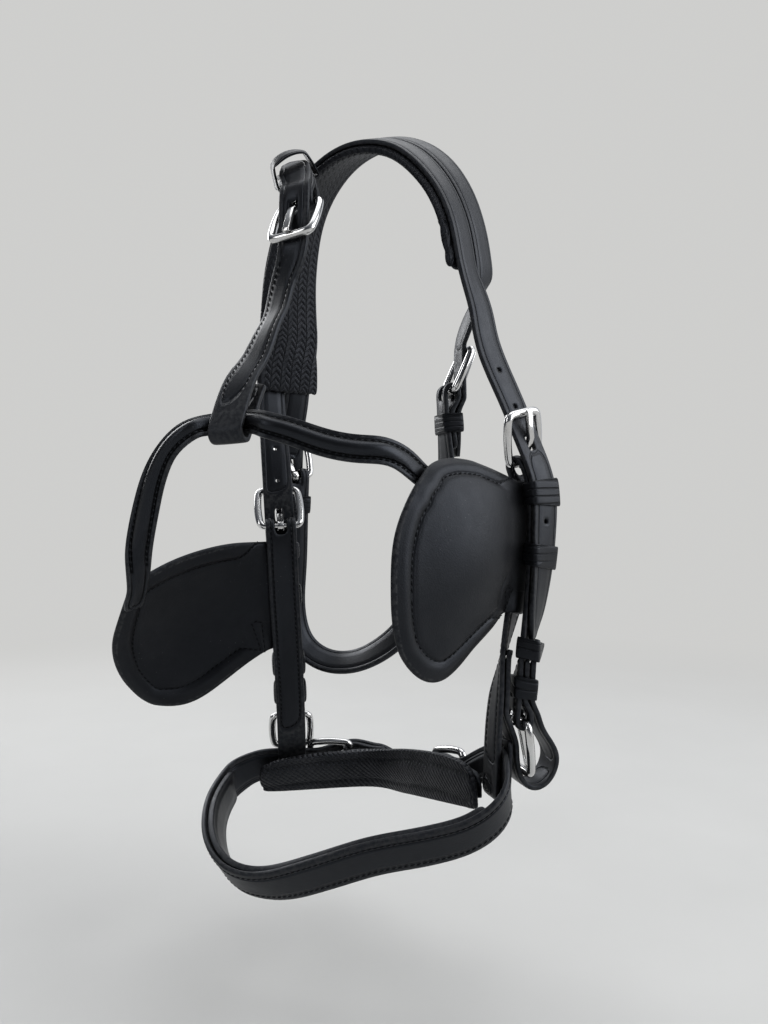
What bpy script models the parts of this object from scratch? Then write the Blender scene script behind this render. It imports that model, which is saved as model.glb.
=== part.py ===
"""Driving bridle with winkers, hung by its crown: leather straps, sewn winkers and nine buckles.

Lengths are in millimetres until a mesh is made, +Z is up and +Y points to the wall it hangs on.
Every strap is cut flat, then laid along a route: a smooth line with the way the leather faces.
A place on a route is (s, u, n): along it, across it toward the bridle's front, and outward.
"""
from math import acos, atan2, cos, hypot, pi, radians, sin, sqrt, tan

import bmesh
import bpy
from mathutils import Matrix, Vector
from mathutils.bvhtree import BVHTree
from mathutils.geometry import interpolate_bezier

MM = 0.001

# Leather
STRAP_WIDTH = 16.0
STRAP_THICK = 2.6
EDGE_BEVEL = 0.45
SEAM_GAP = 0.3
TIP_LENGTH = 15.0
TIP_WIDTH = 5.0
HOLE_WIDTH = 4.6
HOLE_MARGIN = 0.6
HOLE_SPACING = 19.0

# Buckles: frame wire, the thinner bar the chape folds round, and the tongue
WIRE_RADIUS = 2.0
BAR_RADIUS = 1.7
BUCKLE_LENGTH = 24.0
BUCKLE_SIDE_ROOM = 0.9
BUCKLE_SWELL = 0.7
BUCKLE_CORNER = 3.6
TONGUE_WIDTH = 3.2
TONGUE_THICK = 2.4
TONGUE_WALL = 1.2
TONGUE_OVERHANG = 1.6
BAR_ROOM = 0.3
TONGUE_ROOM = 0.7
KNEE_RISE = 1.0
TONGUE_LEAN = 0.95
SLOT_REACH = 3.8
HANG_TILT = 8.0
DROP_START = 1.5
DROP_END = 20.0

# Keepers
KEEPER_LENGTH = 10.5
KEEPER_THICK = 1.2
KEEPER_ROUND = 2.2
KEEPER_ROOM = 0.45

# Crown
PAD_WIDTH = 38.0
PAD_THICK = 4.0
STRIP_GAP = 0.8

# Winkers
WINKER_THICK = 3.6
WINKER_SEWN = 13.0
WINKER_TOP = 7.0
WINKER_SEAM = 64.0
WINKER_BULGE = 9.0
WINKER_LIFT = 0.15

# Cheeks, measured down from the upper buckle's bar
LOWER_BAR = 121.0
NOSEBAND_DROP = 144.0
OFF_NOSEBAND_DROP = 148.0
CHAPE_LEAF = 30.0
LEAF_RAMP = 6.0
NOSE_LEAF = 3.0
UPPER_KEEPERS = (14.0, 42.0)
LOWER_KEEPERS = (86.0, 104.6)
CROWN_BILLET_END = 82.0
BIT_BILLET_ROOT = 88.0
BIT_BILLET_END = 80.0
BIT_LOOP = ((18, 0.7), (27.5, 3.8), (31.5, 10.5), (27, 18.5), (16, 21.5), (5, 14))

# Noseband and jaw strap
NOSEBAND_WIDTH = 21.0
NOSE_LINING_WIDTH = 18.0
NOSE_LINING_THICK = 3.4
JAW_WIDTH = 24.0
JAW_LINING_THICK = 3.6
BEND_ROOM = 0.15
OFF_JAW_CLEAR = 2.5
NEAR_JAW_BAR = 53.0
BILLET_TAIL = 22.0
JAW_CHAPE = 16.0
JAW_DROP = 7.0
JAW_REACH = 20.0
LINING_INSET = (34.0, 26.0)

# Throatlash
THROAT_BAR = 30.0

# Forehead
STAY_WIDTH = 12.0
STAY_FLANGE = 1.8
STAY_RAISE = 4.6
STAY_BEAD = 5.2
STAY_ROOM = 0.5
STAY_CLEAR = 0.5
STAY_UNDER = 1.8
STAY_FLAT = 26.0
STAY_SEARCH = 5.0
STAY_LEAF = 20.0
RING_SET = 24.0
RING_SPREAD = 4.0
RING_RISE = 3.5
RING_LEAF = 33.0
CHAPE_LIFT = 0.6

STATION = 10.5
GAP = SEAM_GAP


class Route:
    """A line through the leather: stations of (s, point, across, out), read in straight lines."""

    def __init__(self, frames):
        self.frames = []
        length = 0.0
        for point, across, out in frames:
            if self.frames:
                length += (point - self.frames[-1][1]).length
            self.frames.append((length, point, across, out))
        self.length = length

    def at(self, s):
        frames = self.frames
        i = 0
        while i < len(frames) - 2 and frames[i + 1][0] < s:
            i += 1
        low, high = frames[i], frames[i + 1]
        t = (s - low[0]) / (high[0] - low[0])
        point = low[1].lerp(high[1], t)
        t = min(max(t, 0.0), 1.0)
        return point, low[2].lerp(high[2], t), low[3].lerp(high[3], t)

    def place(self, s, u, n):
        point, across, out = self.at(s)
        return point + across * u + out * n

    def between(self, s0, s1, clear=1.5):
        low, high = min(s0, s1), max(s0, s1)
        inside = [f[0] for f in self.frames if low + clear < f[0] < high - clear]
        return inside if s0 < s1 else inside[::-1]

    def shifted(self, s0, s1, u=0.0, n=0.0):
        """Frames of the line that lies at (u, n) beside this one, from s0 to s1."""
        result = []
        for s in [s0] + self.between(s0, s1) + [s1]:
            point, across, out = self.at(s)
            result.append((point + across * u + out * n, across, out))
        return result

    def nearest(self, target):
        """How far along the route the point nearest to the target lies."""
        best = None
        for low, high in zip(self.frames, self.frames[1:]):
            span = high[1] - low[1]
            t = min(max((target - low[1]).dot(span) / span.length_squared, 0.0), 1.0)
            gap = (low[1] + span * t - target).length
            if best is None or gap < best[0]:
                best = (gap, low[0] + t * (high[0] - low[0]))
        return best[1]


def smooth_frames(knots, mirrored=False, spacing=STATION):
    """Evenly spaced frames on the smooth curve through knots of (point, out)."""
    points = [Vector(k[0]) for k in knots]
    outs = [Vector(k[1]).normalized() for k in knots]
    fine = []
    for i in range(len(points) - 1):
        a, b = points[i], points[i + 1]
        chord = (b - a).length
        before = points[i - 1] if i else a + (a - b)
        after = points[i + 2] if i + 2 < len(points) else b + (b - a)
        start = ((a - before).normalized() + (b - a).normalized()).normalized() * chord / 3
        end = ((b - a).normalized() + (after - b).normalized()).normalized() * chord / 3
        steps = 24
        curve = interpolate_bezier(a, a + start, b - end, b, steps + 1)
        for j in range(steps):
            fine.append((Vector(curve[j]), outs[i].lerp(outs[i + 1], j / steps)))
    fine.append((points[-1], outs[-1]))
    lengths = [0.0]
    for (p, _), (q, _) in zip(fine, fine[1:]):
        lengths.append(lengths[-1] + (q - p).length)
    count = max(2, round(lengths[-1] / spacing))
    picked = []
    k = 0
    for i in range(count + 1):
        s = lengths[-1] * i / count
        while k < len(fine) - 2 and lengths[k + 1] < s:
            k += 1
        t = min(max((s - lengths[k]) / (lengths[k + 1] - lengths[k]), 0.0), 1.0)
        point = fine[k][0].lerp(fine[k + 1][0], t)
        along = (fine[k + 1][0] - fine[k][0]).normalized()
        picked.append((point, along, fine[k][1].lerp(fine[k + 1][1], t)))
    frames = []
    for point, along, out in picked:
        across = along.cross(out).normalized()
        out = across.cross(along).normalized()
        frames.append((point, -across if mirrored else across, out))
    return frames


def bridged(before, mids, after, spacing=STATION):
    """The free stretch from the end of one list of frames to the start of the next."""
    knots = [(before[-2][0], before[-2][2]), (before[-1][0], before[-1][2])]
    knots += mids
    knots += [(after[0][0], after[0][2]), (after[1][0], after[1][2])]
    frames = smooth_frames(knots, spacing=spacing)
    start = min(range(len(frames)), key=lambda i: (frames[i][0] - before[-1][0]).length)
    end = min(range(len(frames)), key=lambda i: (frames[i][0] - after[0][0]).length)
    return [f for f in frames[start + 1:end]
            if (f[0] - before[-1][0]).length > 3 and (f[0] - after[0][0]).length > 3]


def close_up(frames, nearest=1.0):
    """Drop frames that lie almost on the one before."""
    kept = [frames[0]]
    for frame in frames[1:]:
        if (frame[0] - kept[-1][0]).length > nearest:
            kept.append(frame)
    return kept


class Path:
    """The side view of a strap on its route: rows at (s, n), each cell whole, slotted or punched."""

    def __init__(self, route, s, n):
        self.route = route
        self.rows = [(s, n)]
        self.cells = []

    def add(self, s, n, cell="whole"):
        self.rows.append((s, n))
        self.cells.append(cell)
        return self

    def run(self, s, n, holes=(), cell="whole"):
        """Straight in the side view to (s, n), with a row at each station and round each hole."""
        s0, n0 = self.rows[-1]
        way = 1 if s > s0 else -1
        stops = [(x, "whole") for x in self.route.between(s0, s)]
        for middle, half in holes:
            low, high = middle - half - HOLE_MARGIN, middle + half + HOLE_MARGIN
            stops = [x for x in stops if not low - 1.2 < x[0] < high + 1.2]
            stops += [(low, "whole" if way > 0 else "hole"), (high, "hole" if way > 0 else "whole")]
        stops.sort(key=lambda x: x[0] * way)
        for x, kind in stops:
            self.add(x, n0 + (n - n0) * (x - s0) / (s - s0), cell if kind == "whole" else kind)
        return self.add(s, n, cell)

    def turn(self, s, n, radius, start, sweep, steps=6, cell="slot"):
        """Round a bar at (s, n), from the angle start, measured from outward toward +s."""
        for i in range(1, steps + 1):
            angle = radians(start + sweep * i / steps)
            self.add(s + radius * sin(angle), n + radius * cos(angle), cell)
        return self

    def through(self, points, last, steps=2):
        """A smooth curve through points that arrives at last heading toward smaller s."""
        start = self.rows[-1]
        lead = self.rows[-2]
        line = [(*lead, 0), (*start, 0)] + [(*p, 0) for p in points]
        line += [(*last, 0), (last[0] - 12, last[1], 0)]
        for s, n, _ in curve_points(line, steps):
            self.add(s, n)
        return self

    def normals(self):
        """The mitred normal of each row, to the left of the way the path runs."""
        ways = []
        for (s0, n0), (s1, n1) in zip(self.rows, self.rows[1:]):
            step = hypot(s1 - s0, n1 - n0)
            ways.append((-(n1 - n0) / step, (s1 - s0) / step))
        result = []
        for i in range(len(self.rows)):
            a = ways[max(i - 1, 0)]
            b = ways[min(i, len(ways) - 1)]
            dot = a[0] * b[0] + a[1] * b[1]
            result.append(((a[0] + b[0]) / (1 + dot), (a[1] + b[1]) / (1 + dot)))
        return result


def cut_strap(rows, widths, thick, cells, ahead, lane, hole_half, bevel):
    """A flat strap on rows along x, its edges bevelled, with slots and punched holes.

    Each cell's diagonal depends on whether it runs ahead on its route, so stacked straps match.
    """
    bm = bmesh.new()
    grid = []
    for x, width in zip(rows, widths):
        half = width / 2
        us = [-half, -min(lane, half * 0.5), min(lane, half * 0.5), half] if lane else [-half, half]
        grid.append([bm.verts.new((x, u, -thick / 2)) for u in us])
    for i, cell in enumerate(cells):
        a, b = grid[i], grid[i + 1]
        for j in range(len(a) - 1):
            middle = lane and j == 1
            if middle and cell == "slot":
                continue
            if middle and cell == "hole":
                corners = [a[1], b[1], b[2], a[2]]
                x = (rows[i] + rows[i + 1]) / 2
                ends = (rows[i + 1] - rows[i]) / 2 - HOLE_MARGIN
                cut = hole_half * 0.58 if ends < hole_half * 1.1 else hole_half * 0.25
                quarter = ((ends - cut, hole_half), (ends, hole_half - cut))
                spots = [(-quarter[0][0], -quarter[0][1]), (quarter[0][0], -quarter[0][1])]
                spots += [(quarter[1][0], -quarter[1][1]), (quarter[1][0], quarter[1][1])]
                spots += [(-p, -q) for p, q in spots]
                ring = [bm.verts.new((x + p, q, -thick / 2)) for p, q in spots]
                for k in range(4):
                    low, high = ring[2 * k], ring[2 * k + 1]
                    bm.faces.new((corners[k], corners[(k + 1) % 4], high))
                    bm.faces.new((corners[k], high, low))
                    bm.faces.new((corners[(k + 1) % 4], ring[(2 * k + 2) % 8], high))
                continue
            if ahead[i]:
                bm.faces.new((a[j], b[j], b[j + 1]))
                bm.faces.new((a[j], b[j + 1], a[j + 1]))
            else:
                bm.faces.new((a[j], b[j], a[j + 1]))
                bm.faces.new((b[j], b[j + 1], a[j + 1]))
    made = bmesh.ops.extrude_face_region(bm, geom=bm.faces[:], use_keep_orig=True)
    top = [v for v in made["geom"] if isinstance(v, bmesh.types.BMVert)]
    bmesh.ops.translate(bm, verts=top, vec=(0, 0, thick))
    bmesh.ops.recalc_face_normals(bm, faces=bm.faces[:])
    if bevel:
        rim = []
        for edge in bm.edges:
            a, b = (v.co for v in edge.verts)
            if abs(a.z - b.z) < 1e-6 and len(edge.link_faces) == 2:
                flats = [abs(f.normal.z) > 0.9 for f in edge.link_faces]
                outer = all(on_rim(p, rows, widths) for p in (a, b))
                if flats[0] != flats[1] and outer:
                    rim.append(edge)
        bmesh.ops.bevel(bm, geom=rim, offset=bevel, segments=1, affect="EDGES", profile=0.5)
    return bm


def on_rim(p, rows, widths):
    if abs(p.x - rows[0]) < 1e-5 or abs(p.x - rows[-1]) < 1e-5:
        return True
    for i in range(len(rows) - 1):
        if rows[i] - 1e-5 <= p.x <= rows[i + 1] + 1e-5:
            t = (p.x - rows[i]) / (rows[i + 1] - rows[i])
            half = (widths[i] + (widths[i + 1] - widths[i]) * t) / 2
            return abs(abs(p.y) - half) < 1e-3
    return False


def lay_strap(name, path, width, thick, look, lane=0.0, tips=(None, None), bevel=EDGE_BEVEL,
              hole_half=HOLE_WIDTH / 2, shift=0.0):
    """Cut a strap for the path and bend it onto the path's route. A tip is point, round or None."""
    rows = [0.0]
    for (s0, n0), (s1, n1) in zip(path.rows, path.rows[1:]):
        rows.append(rows[-1] + hypot(s1 - s0, n1 - n0))
    spots = list(path.rows)
    cells = list(path.cells)
    normals = path.normals()
    length = rows[-1]
    extra = []
    for end, tip in enumerate(tips):
        if tip:
            cuts = (0.0, 0.33, 0.66) if tip == "point" else (0.0, 0.15, 0.5)
            extra += [TIP_LENGTH * c if end == 0 else length - TIP_LENGTH * c for c in cuts + (1.0,)]
    for x in sorted(extra):
        if min(abs(x - r) for r in rows) < 0.8:
            continue
        i = max(k for k in range(len(rows)) if rows[k] < x)
        t = (x - rows[i]) / (rows[i + 1] - rows[i])
        if cells[i] != "whole":
            continue
        a, b = spots[i], spots[i + 1]
        p, q = normals[i], normals[i + 1]
        rows.insert(i + 1, x)
        spots.insert(i + 1, (a[0] + (b[0] - a[0]) * t, a[1] + (b[1] - a[1]) * t))
        normals.insert(i + 1, (p[0] + (q[0] - p[0]) * t, p[1] + (q[1] - p[1]) * t))
        cells.insert(i + 1, "whole")
    widths = []
    for x in rows:
        w = full = width(x) if callable(width) else width
        for end, tip in enumerate(tips):
            reach = x if end == 0 else length - x
            if tip and reach < TIP_LENGTH:
                share = reach / TIP_LENGTH
                if tip == "point":
                    w = TIP_WIDTH + (full - TIP_WIDTH) * share ** 0.8
                else:
                    w = full * (0.45 + 0.55 * sqrt(max(0.0, 1 - (1 - share) ** 2)))
        widths.append(w)
    ahead = [b[0] > a[0] for a, b in zip(spots, spots[1:])]
    bm = cut_strap(rows, widths, thick, cells, ahead, lane, hole_half, bevel)
    for v in bm.verts:
        x, u, h = v.co
        i = 0
        while i < len(rows) - 2 and rows[i + 1] < x:
            i += 1
        t = (x - rows[i]) / (rows[i + 1] - rows[i])
        s = spots[i][0] + (spots[i + 1][0] - spots[i][0]) * t
        n = spots[i][1] + (spots[i + 1][1] - spots[i][1]) * t
        s += h * (normals[i][0] + (normals[i + 1][0] - normals[i][0]) * t)
        n += h * (normals[i][1] + (normals[i + 1][1] - normals[i][1]) * t)
        v.co = path.route.place(s, u + shift, n)
    return finish(name, bm, look)


def finish(name, bm, look, matrix=None, smooth=40):
    """Turn millimetre geometry in the world into a named object, its origin at the matrix."""
    matrix = matrix or Matrix()
    bmesh.ops.recalc_face_normals(bm, faces=bm.faces[:])
    if bm.calc_volume(signed=True) < 0:
        bmesh.ops.reverse_faces(bm, faces=bm.faces[:])
    bmesh.ops.triangulate(bm, faces=[f for f in bm.faces if len(f.verts) > 3])
    inverse = matrix.inverted()
    for v in bm.verts:
        v.co = inverse @ (v.co * MM)
    mesh = bpy.data.meshes.new(name)
    bm.to_mesh(mesh)
    bm.free()
    mesh.materials.append(look)
    mesh.shade_smooth()
    mesh.set_sharp_from_angle(angle=radians(smooth))
    part = bpy.data.objects.new(name, mesh)
    part.matrix_world = matrix
    bpy.context.scene.collection.objects.link(part)
    return part


def finish_of(colour, roughness, metallic=0.0):
    """A look with one colour, as a Principled material."""
    def make(name):
        material = bpy.data.materials.new(name)
        material.use_nodes = True
        shader = material.node_tree.nodes["Principled BSDF"]
        shader.inputs["Base Color"].default_value = (*colour, 1.0)
        shader.inputs["Roughness"].default_value = roughness
        shader.inputs["Metallic"].default_value = metallic
        return material
    return make


LEATHER = finish_of((0.012, 0.012, 0.014), 0.42)
LINING = finish_of((0.02, 0.02, 0.022), 0.6)
STEEL = finish_of((0.75, 0.76, 0.78), 0.16, 1.0)


def keeper(name, route, s, n_low, n_high, width, length=KEEPER_LENGTH):
    """A band round a stack of leather that lies from n_low to n_high."""
    inner_u = width / 2 + GAP
    low, high = n_low - KEEPER_ROOM, n_high + KEEPER_ROOM
    bm = bmesh.new()
    rings = []
    ends = (s - length / 2, s + length / 2)
    for stop in [ends[0]] + route.between(*ends, clear=0.5) + [ends[1]]:
        for grow in (0.0, KEEPER_THICK):
            half = inner_u + grow
            bottom, top = low - grow, high + grow
            corner = KEEPER_ROUND if grow else KEEPER_ROUND - KEEPER_THICK
            spots = []
            for k, (side_u, side_n) in enumerate(((1, 1), (-1, 1), (-1, -1), (1, -1))):
                for step in range(3):
                    angle = radians(90 * k + 45 * step)
                    u = side_u * (half - corner) + corner * cos(angle)
                    n = (top - corner if side_n > 0 else bottom + corner) + corner * sin(angle)
                    spots.append((u, n))
                if k in (0, 2):
                    spots += [(side_u * LANE, n), (-side_u * LANE, n)]
            rings.append([bm.verts.new(route.place(stop, u, n)) for u, n in spots])
    count = len(rings[0])
    joints = [(0, 1), (len(rings) - 1, len(rings) - 2)]
    joints += [(i, i + 2) for i in range(len(rings) - 2)]
    for a, b in joints:
        for k in range(count):
            m = (k + 1) % count
            rising = spots[m][0] > spots[k][0]
            first, second = (rings[a][k], rings[b][m]) if rising else (rings[a][m], rings[b][k])
            for third in ((rings[a][m], rings[b][k]) if rising else (rings[a][k], rings[b][m])):
                bm.faces.new((first, second, third))
    return finish(name, bm, LEATHER(name))


def buckle_axes(route, s, n, toward, tilt):
    """The buckle's own frame: x along its bar, y from the bar to the far side, z outward."""
    origin = route.place(s, 0, n)
    ahead = route.place(s + toward * BUCKLE_LENGTH * cos(tilt), 0, n)
    along = (ahead - origin).normalized()
    across = (route.at(s)[1] + route.at(s + toward * BUCKLE_LENGTH)[1]).normalized()
    across = (across - along * across.dot(along)).normalized()
    out = across.cross(along)
    if out.dot(route.at(s)[2]) < 0:
        out = -out
    far = along * cos(tilt) + out * sin(tilt)
    face = out * cos(tilt) - along * sin(tilt)
    x = far.cross(face)
    matrix = Matrix((x, far, face)).transposed().to_4x4()
    matrix.translation = origin * MM
    return matrix


def frame_half_width(width):
    return width / 2 + BUCKLE_SIDE_ROOM + WIRE_RADIUS


def buckle_frame(name, matrix, width):
    """A rounded wire frame, its bar on the local x axis and its sides a little swelled."""
    half = frame_half_width(width)
    corners = ((half, 0.0, 0), (half, BUCKLE_LENGTH, 1), (-half, BUCKLE_LENGTH, 2), (-half, 0.0, 3))
    line = []
    for cx, cy, k in corners:
        inward_x = -BUCKLE_CORNER if cx > 0 else BUCKLE_CORNER
        inward_y = BUCKLE_CORNER if cy == 0 else -BUCKLE_CORNER
        for step in range(4):
            angle = radians(-90 + 90 * k + 30 * step)
            x = cx + inward_x + BUCKLE_CORNER * cos(angle)
            y = cy + inward_y + BUCKLE_CORNER * sin(angle)
            line.append((x, y))
        if k in (0, 2):
            side = BUCKLE_SWELL if cx > 0 else -BUCKLE_SWELL
            line.append((cx + side, BUCKLE_LENGTH / 2))
    bm = bmesh.new()
    rings = []
    count = len(line)
    for i, (x, y) in enumerate(line):
        px, py = line[i - 1]
        qx, qy = line[(i + 1) % count]
        way = Vector((qx - px, qy - py, 0)).normalized()
        side = Vector((way.y, -way.x, 0))
        radius = BAR_RADIUS if y < 0.5 else WIRE_RADIUS
        turn = Vector((x - px, y - py, 0)).normalized().dot(Vector((qx - x, qy - y, 0)).normalized())
        stretch = 1 / sqrt((1 + turn) / 2)
        ring = []
        for k in range(8):
            angle = 2 * pi * k / 8 + pi / 8
            spot = Vector((x, y, 0)) + side * radius * stretch * cos(angle)
            spot.z = radius * sin(angle)
            ring.append(bm.verts.new((matrix @ (spot * MM)) / MM))
        rings.append(ring)
    for i in range(count):
        a, b = rings[i], rings[(i + 1) % count]
        for k in range(8):
            m = (k + 1) % 8
            bm.faces.new((a[k], a[m], b[m], b[k]))
    return finish(name, bm, STEEL(name), matrix)


def buckle_tongue(name, matrix, knee, tip):
    """A bent tongue cut from bar: an eye round the frame's bar, then a shank by knee to tip."""
    eye = BAR_RADIUS + BAR_ROOM + TONGUE_WALL
    half = TONGUE_THICK / 2
    first = Vector(knee).normalized()
    second = (Vector(tip) - Vector(knee)).normalized()
    start = atan2(first.y, first.x)
    leave = arcsine(half / eye)
    outline = []
    steps = 12
    for i in range(steps + 1):
        angle = start + leave + (2 * pi - 2 * leave) * i / steps
        outline.append(Vector((eye * cos(angle), eye * sin(angle))))
    mitre = (first + second).normalized()
    side = Vector((mitre.y, -mitre.x)) * half / mitre.dot(first)
    end_side = Vector((second.y, -second.x)) * half
    outline.append(Vector(knee) + side)
    outline.append(Vector(tip) - second * half + end_side)
    outline.append(Vector(tip) + end_side * 0.35)
    outline.append(Vector(tip) - end_side * 0.35)
    outline.append(Vector(tip) - second * half - end_side)
    outline.append(Vector(knee) - side)
    bore = [Vector((cos(2 * pi * k / 10), sin(2 * pi * k / 10))) * (BAR_RADIUS + BAR_ROOM) / cos(pi / 10)
            for k in range(10)]
    bm = bmesh.new()
    edges = []
    for loop in (outline, bore):
        verts = [bm.verts.new((-TONGUE_WIDTH / 2, p.x, p.y)) for p in loop]
        edges += [bm.edges.new((verts[i - 1], verts[i])) for i in range(len(verts))]
    bmesh.ops.triangle_fill(bm, edges=edges, use_beauty=True)
    made = bmesh.ops.extrude_face_region(bm, geom=bm.faces[:], use_keep_orig=True)
    top = [v for v in made["geom"] if isinstance(v, bmesh.types.BMVert)]
    bmesh.ops.translate(bm, verts=top, vec=(TONGUE_WIDTH, 0, 0))
    for v in bm.verts:
        v.co = (matrix @ (v.co * MM)) / MM
    return finish(name, bm, STEEL(name), matrix)


def arcsine(value):
    return pi / 2 - acos(value)


def fastened(label, route, s, n_bar, n_billet, toward, width=STRAP_WIDTH, drop=0.0):
    """A closed buckle: the frame leans over the billet and the tongue rises through it.

    Toward the far side the billet comes down by the drop.
    """
    n_far = n_billet - drop + STRAP_THICK / 2 + GAP + WIRE_RADIUS
    rise = n_far - n_bar
    tilt = arcsine(rise / BUCKLE_LENGTH)
    matrix = buckle_axes(route, s, n_bar, toward, tilt)
    frame = buckle_frame(label + "_buckle", matrix, width)
    lift, cross = tongue_cross(n_bar, n_billet, drop)
    above = STRAP_THICK / 2 + KNEE_RISE
    knee = Vector((cross * (1 + above / lift), lift + above))
    rest = WIRE_RADIUS + GAP + TONGUE_THICK / 2
    tip = Vector((BUCKLE_LENGTH + TONGUE_OVERHANG, rest))
    turn = Matrix.Rotation(-tilt, 2)
    tongue = buckle_tongue(label + "_tongue", matrix, turn @ knee, tip)
    return frame, tongue


def tongue_cross(n_bar, n_billet, drop=0.0):
    """Where the tongue meets the billet: how far above the bar and how far past it."""
    slope = drop / (DROP_END - DROP_START)
    cross = TONGUE_LEAN * (n_billet - n_bar + slope * DROP_START) / (1 + TONGUE_LEAN * slope)
    return cross / TONGUE_LEAN, cross


def tongue_hole(route, s, n_bar, n_billet, toward, strap, drop=0.0):
    """The punched hole the tongue stands in, as (middle, half length) on the billet's own route."""
    lift, cross = tongue_cross(n_bar, n_billet, drop)
    angle = atan2(lift, cross)
    half = (TONGUE_THICK / sin(angle) + STRAP_THICK / tan(angle)) / 2 + TONGUE_ROOM
    middle = strap.nearest(route.place(s + toward * cross, 0, n_bar + lift))
    return middle, half


def hanging(label, route, s, n_bar, toward, tilt, width=STRAP_WIDTH):
    """An open buckle that hangs from its bar, the tongue lying on the frame."""
    matrix = buckle_axes(route, s, n_bar, toward, tilt)
    frame = buckle_frame(label + "_buckle", matrix, width)
    rest = WIRE_RADIUS + GAP + TONGUE_THICK / 2
    knee = Vector((BUCKLE_LENGTH * 0.35, rest * 0.45))
    tip = Vector((BUCKLE_LENGTH + TONGUE_OVERHANG, rest))
    tongue = buckle_tongue(label + "_tongue", matrix, knee, tip)
    return frame, tongue


LANE = HOLE_WIDTH / 2 + HOLE_MARGIN
HALF = STRAP_THICK / 2
LAYER = STRAP_THICK + GAP
FOLD = BAR_RADIUS + BAR_ROOM + 0.2 + HALF
KEEPER_SET = SLOT_REACH + LEAF_RAMP + KEEPER_LENGTH / 2 + 1.5
RAMP_SHIFT = LAYER * tan(atan2(2 * FOLD - LAYER, LEAF_RAMP) / 2)
TONGUE_HOLE = HOLE_WIDTH / 2


def plain_holes(used, way, steps):
    """Round holes some steps of the punch spacing from the used one, as (middle, half length)."""
    return [(used + way * HOLE_SPACING * k, TONGUE_HOLE) for k in steps]


def flipped(frames):
    return [(point, -across, out) for point, across, out in frames]


def crossing(route, s, n, start, end):
    """Frames of a strap that crosses a route square to it, its width lying along the route."""
    ahead = (route.at(s + 1)[0] - route.at(s - 1)[0]).normalized()
    point, across, out = route.at(s)
    across = across.normalized()
    count = max(2, round(abs(end - start) / STATION))
    steps = [start + (end - start) * i / count for i in range(count + 1)]
    return [(point + out * n + across * u, ahead, out) for u in steps]


def chain(first, *rest, spacing=STATION):
    """Fixed stretches of frames joined by smooth free ones: frames, knots, frames, knots, ..."""
    frames = list(first)
    for mids, block in zip(rest[::2], rest[1::2]):
        frames += bridged(frames, mids, block, spacing)
        frames += block
    return Route(close_up(frames))


# Routes. Knots are (x, y, z) of the leather's inner face and the way its outer face looks.
CROWN_KNOTS = [((-39, 40, -120), (-0.60, 0.80, 0.00)),
               ((-38, 38, -88), (-0.62, 0.78, 0.02)),
               ((-35, 31, -53), (-0.76, 0.58, 0.12)),
               ((-25, 20, -24), (-0.72, 0.22, 0.56)),
               ((-8, 6, -8), (-0.38, -0.20, 0.88)),
               ((10, -5, -3.5), (-0.10, -0.42, 0.90)),
               ((28, -12, -9), (0.22, -0.58, 0.78)),
               ((42, -18, -25), (0.58, -0.68, 0.44)),
               ((51, -23.5, -48), (0.76, -0.62, 0.16)),
               ((55, -26, -74), (0.80, -0.60, 0.04))]
NEAR_CHEEK_KNOTS = [((62.6, -22, -124), (0.565, -0.777, 0.278)),
                    ((71, -24, -145.5), (0.565, -0.777, 0.278)),
                    ((79.3, -26, -167), (0.565, -0.777, 0.278)),
                    ((82.3, -26.7, -175), (0.565, -0.777, 0.278)),
                    ((82, -28, -200), (0.63, -0.77, 0.0)),
                    ((77.5, -29.5, -228), (0.82, -0.57, 0.0)),
                    ((71.5, -32.5, -252), (0.965, -0.26, 0.0)),
                    ((67.2, -35.6, -274), (0.965, 0.20, 0.0)),
                    ((65.6, -37, -290), (0.96, 0.27, 0.0)),
                    ((64.6, -38, -308), (0.96, 0.27, 0.0)),
                    ((63, -39.5, -337), (0.96, 0.27, 0.0))]
OFF_CHEEK_KNOTS = [((-42.6, 10.5, -148), (-0.17, 0.96, -0.1)),
                   ((-40.8, 7.5, -172), (-0.17, 0.96, -0.1)),
                   ((-39, 4.5, -196), (-0.17, 0.96, -0.1)),
                   ((-38.4, 3.6, -204), (-0.17, 0.96, 0.0)),
                   ((-38, 9, -230), (-0.13, 0.95, 0.22)),
                   ((-37.5, 21, -264), (-0.13, 0.94, 0.30)),
                   ((-37.5, 34, -300), (-0.13, 0.94, 0.32)),
                   ((-38, 46, -332), (-0.13, 0.94, 0.32)),
                   ((-38.5, 58, -364), (-0.13, 0.94, 0.32))]
FOREHEAD_ROOT = (-19, 15, -16)
FOREHEAD_TOP = [((-29.2, -13, -21.5), (-0.30, -0.46, 0.83)), ((-26, -21.5, -27), (-0.32, -0.65, 0.68))]
FOREHEAD_BUCKLE = [((-22.8, -26.2, -35), (-0.405, -0.915, 0.165)),
                   ((-22.3, -32.4, -68), (-0.405, -0.915, 0.165))]
FOREHEAD_HINGE = (-22.7, -27.4, -41.5)
FOREHEAD_MIDDLE = [((-28.4, -34, -82), (-0.60, -0.78, 0.20)), ((-36.6, -46.5, -103), (-0.66, -0.68, 0.32)),
                   ((-42.5, -55, -121), (-0.45, -0.78, 0.42))]
STAY_CROSSING = (-50.16, -73.6, -147.4)
FOREHEAD_END = [((-48, -64, -132), (-0.28, -0.82, 0.50)), ((-52.5, -84, -164), (-0.28, -0.82, 0.50))]
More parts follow.
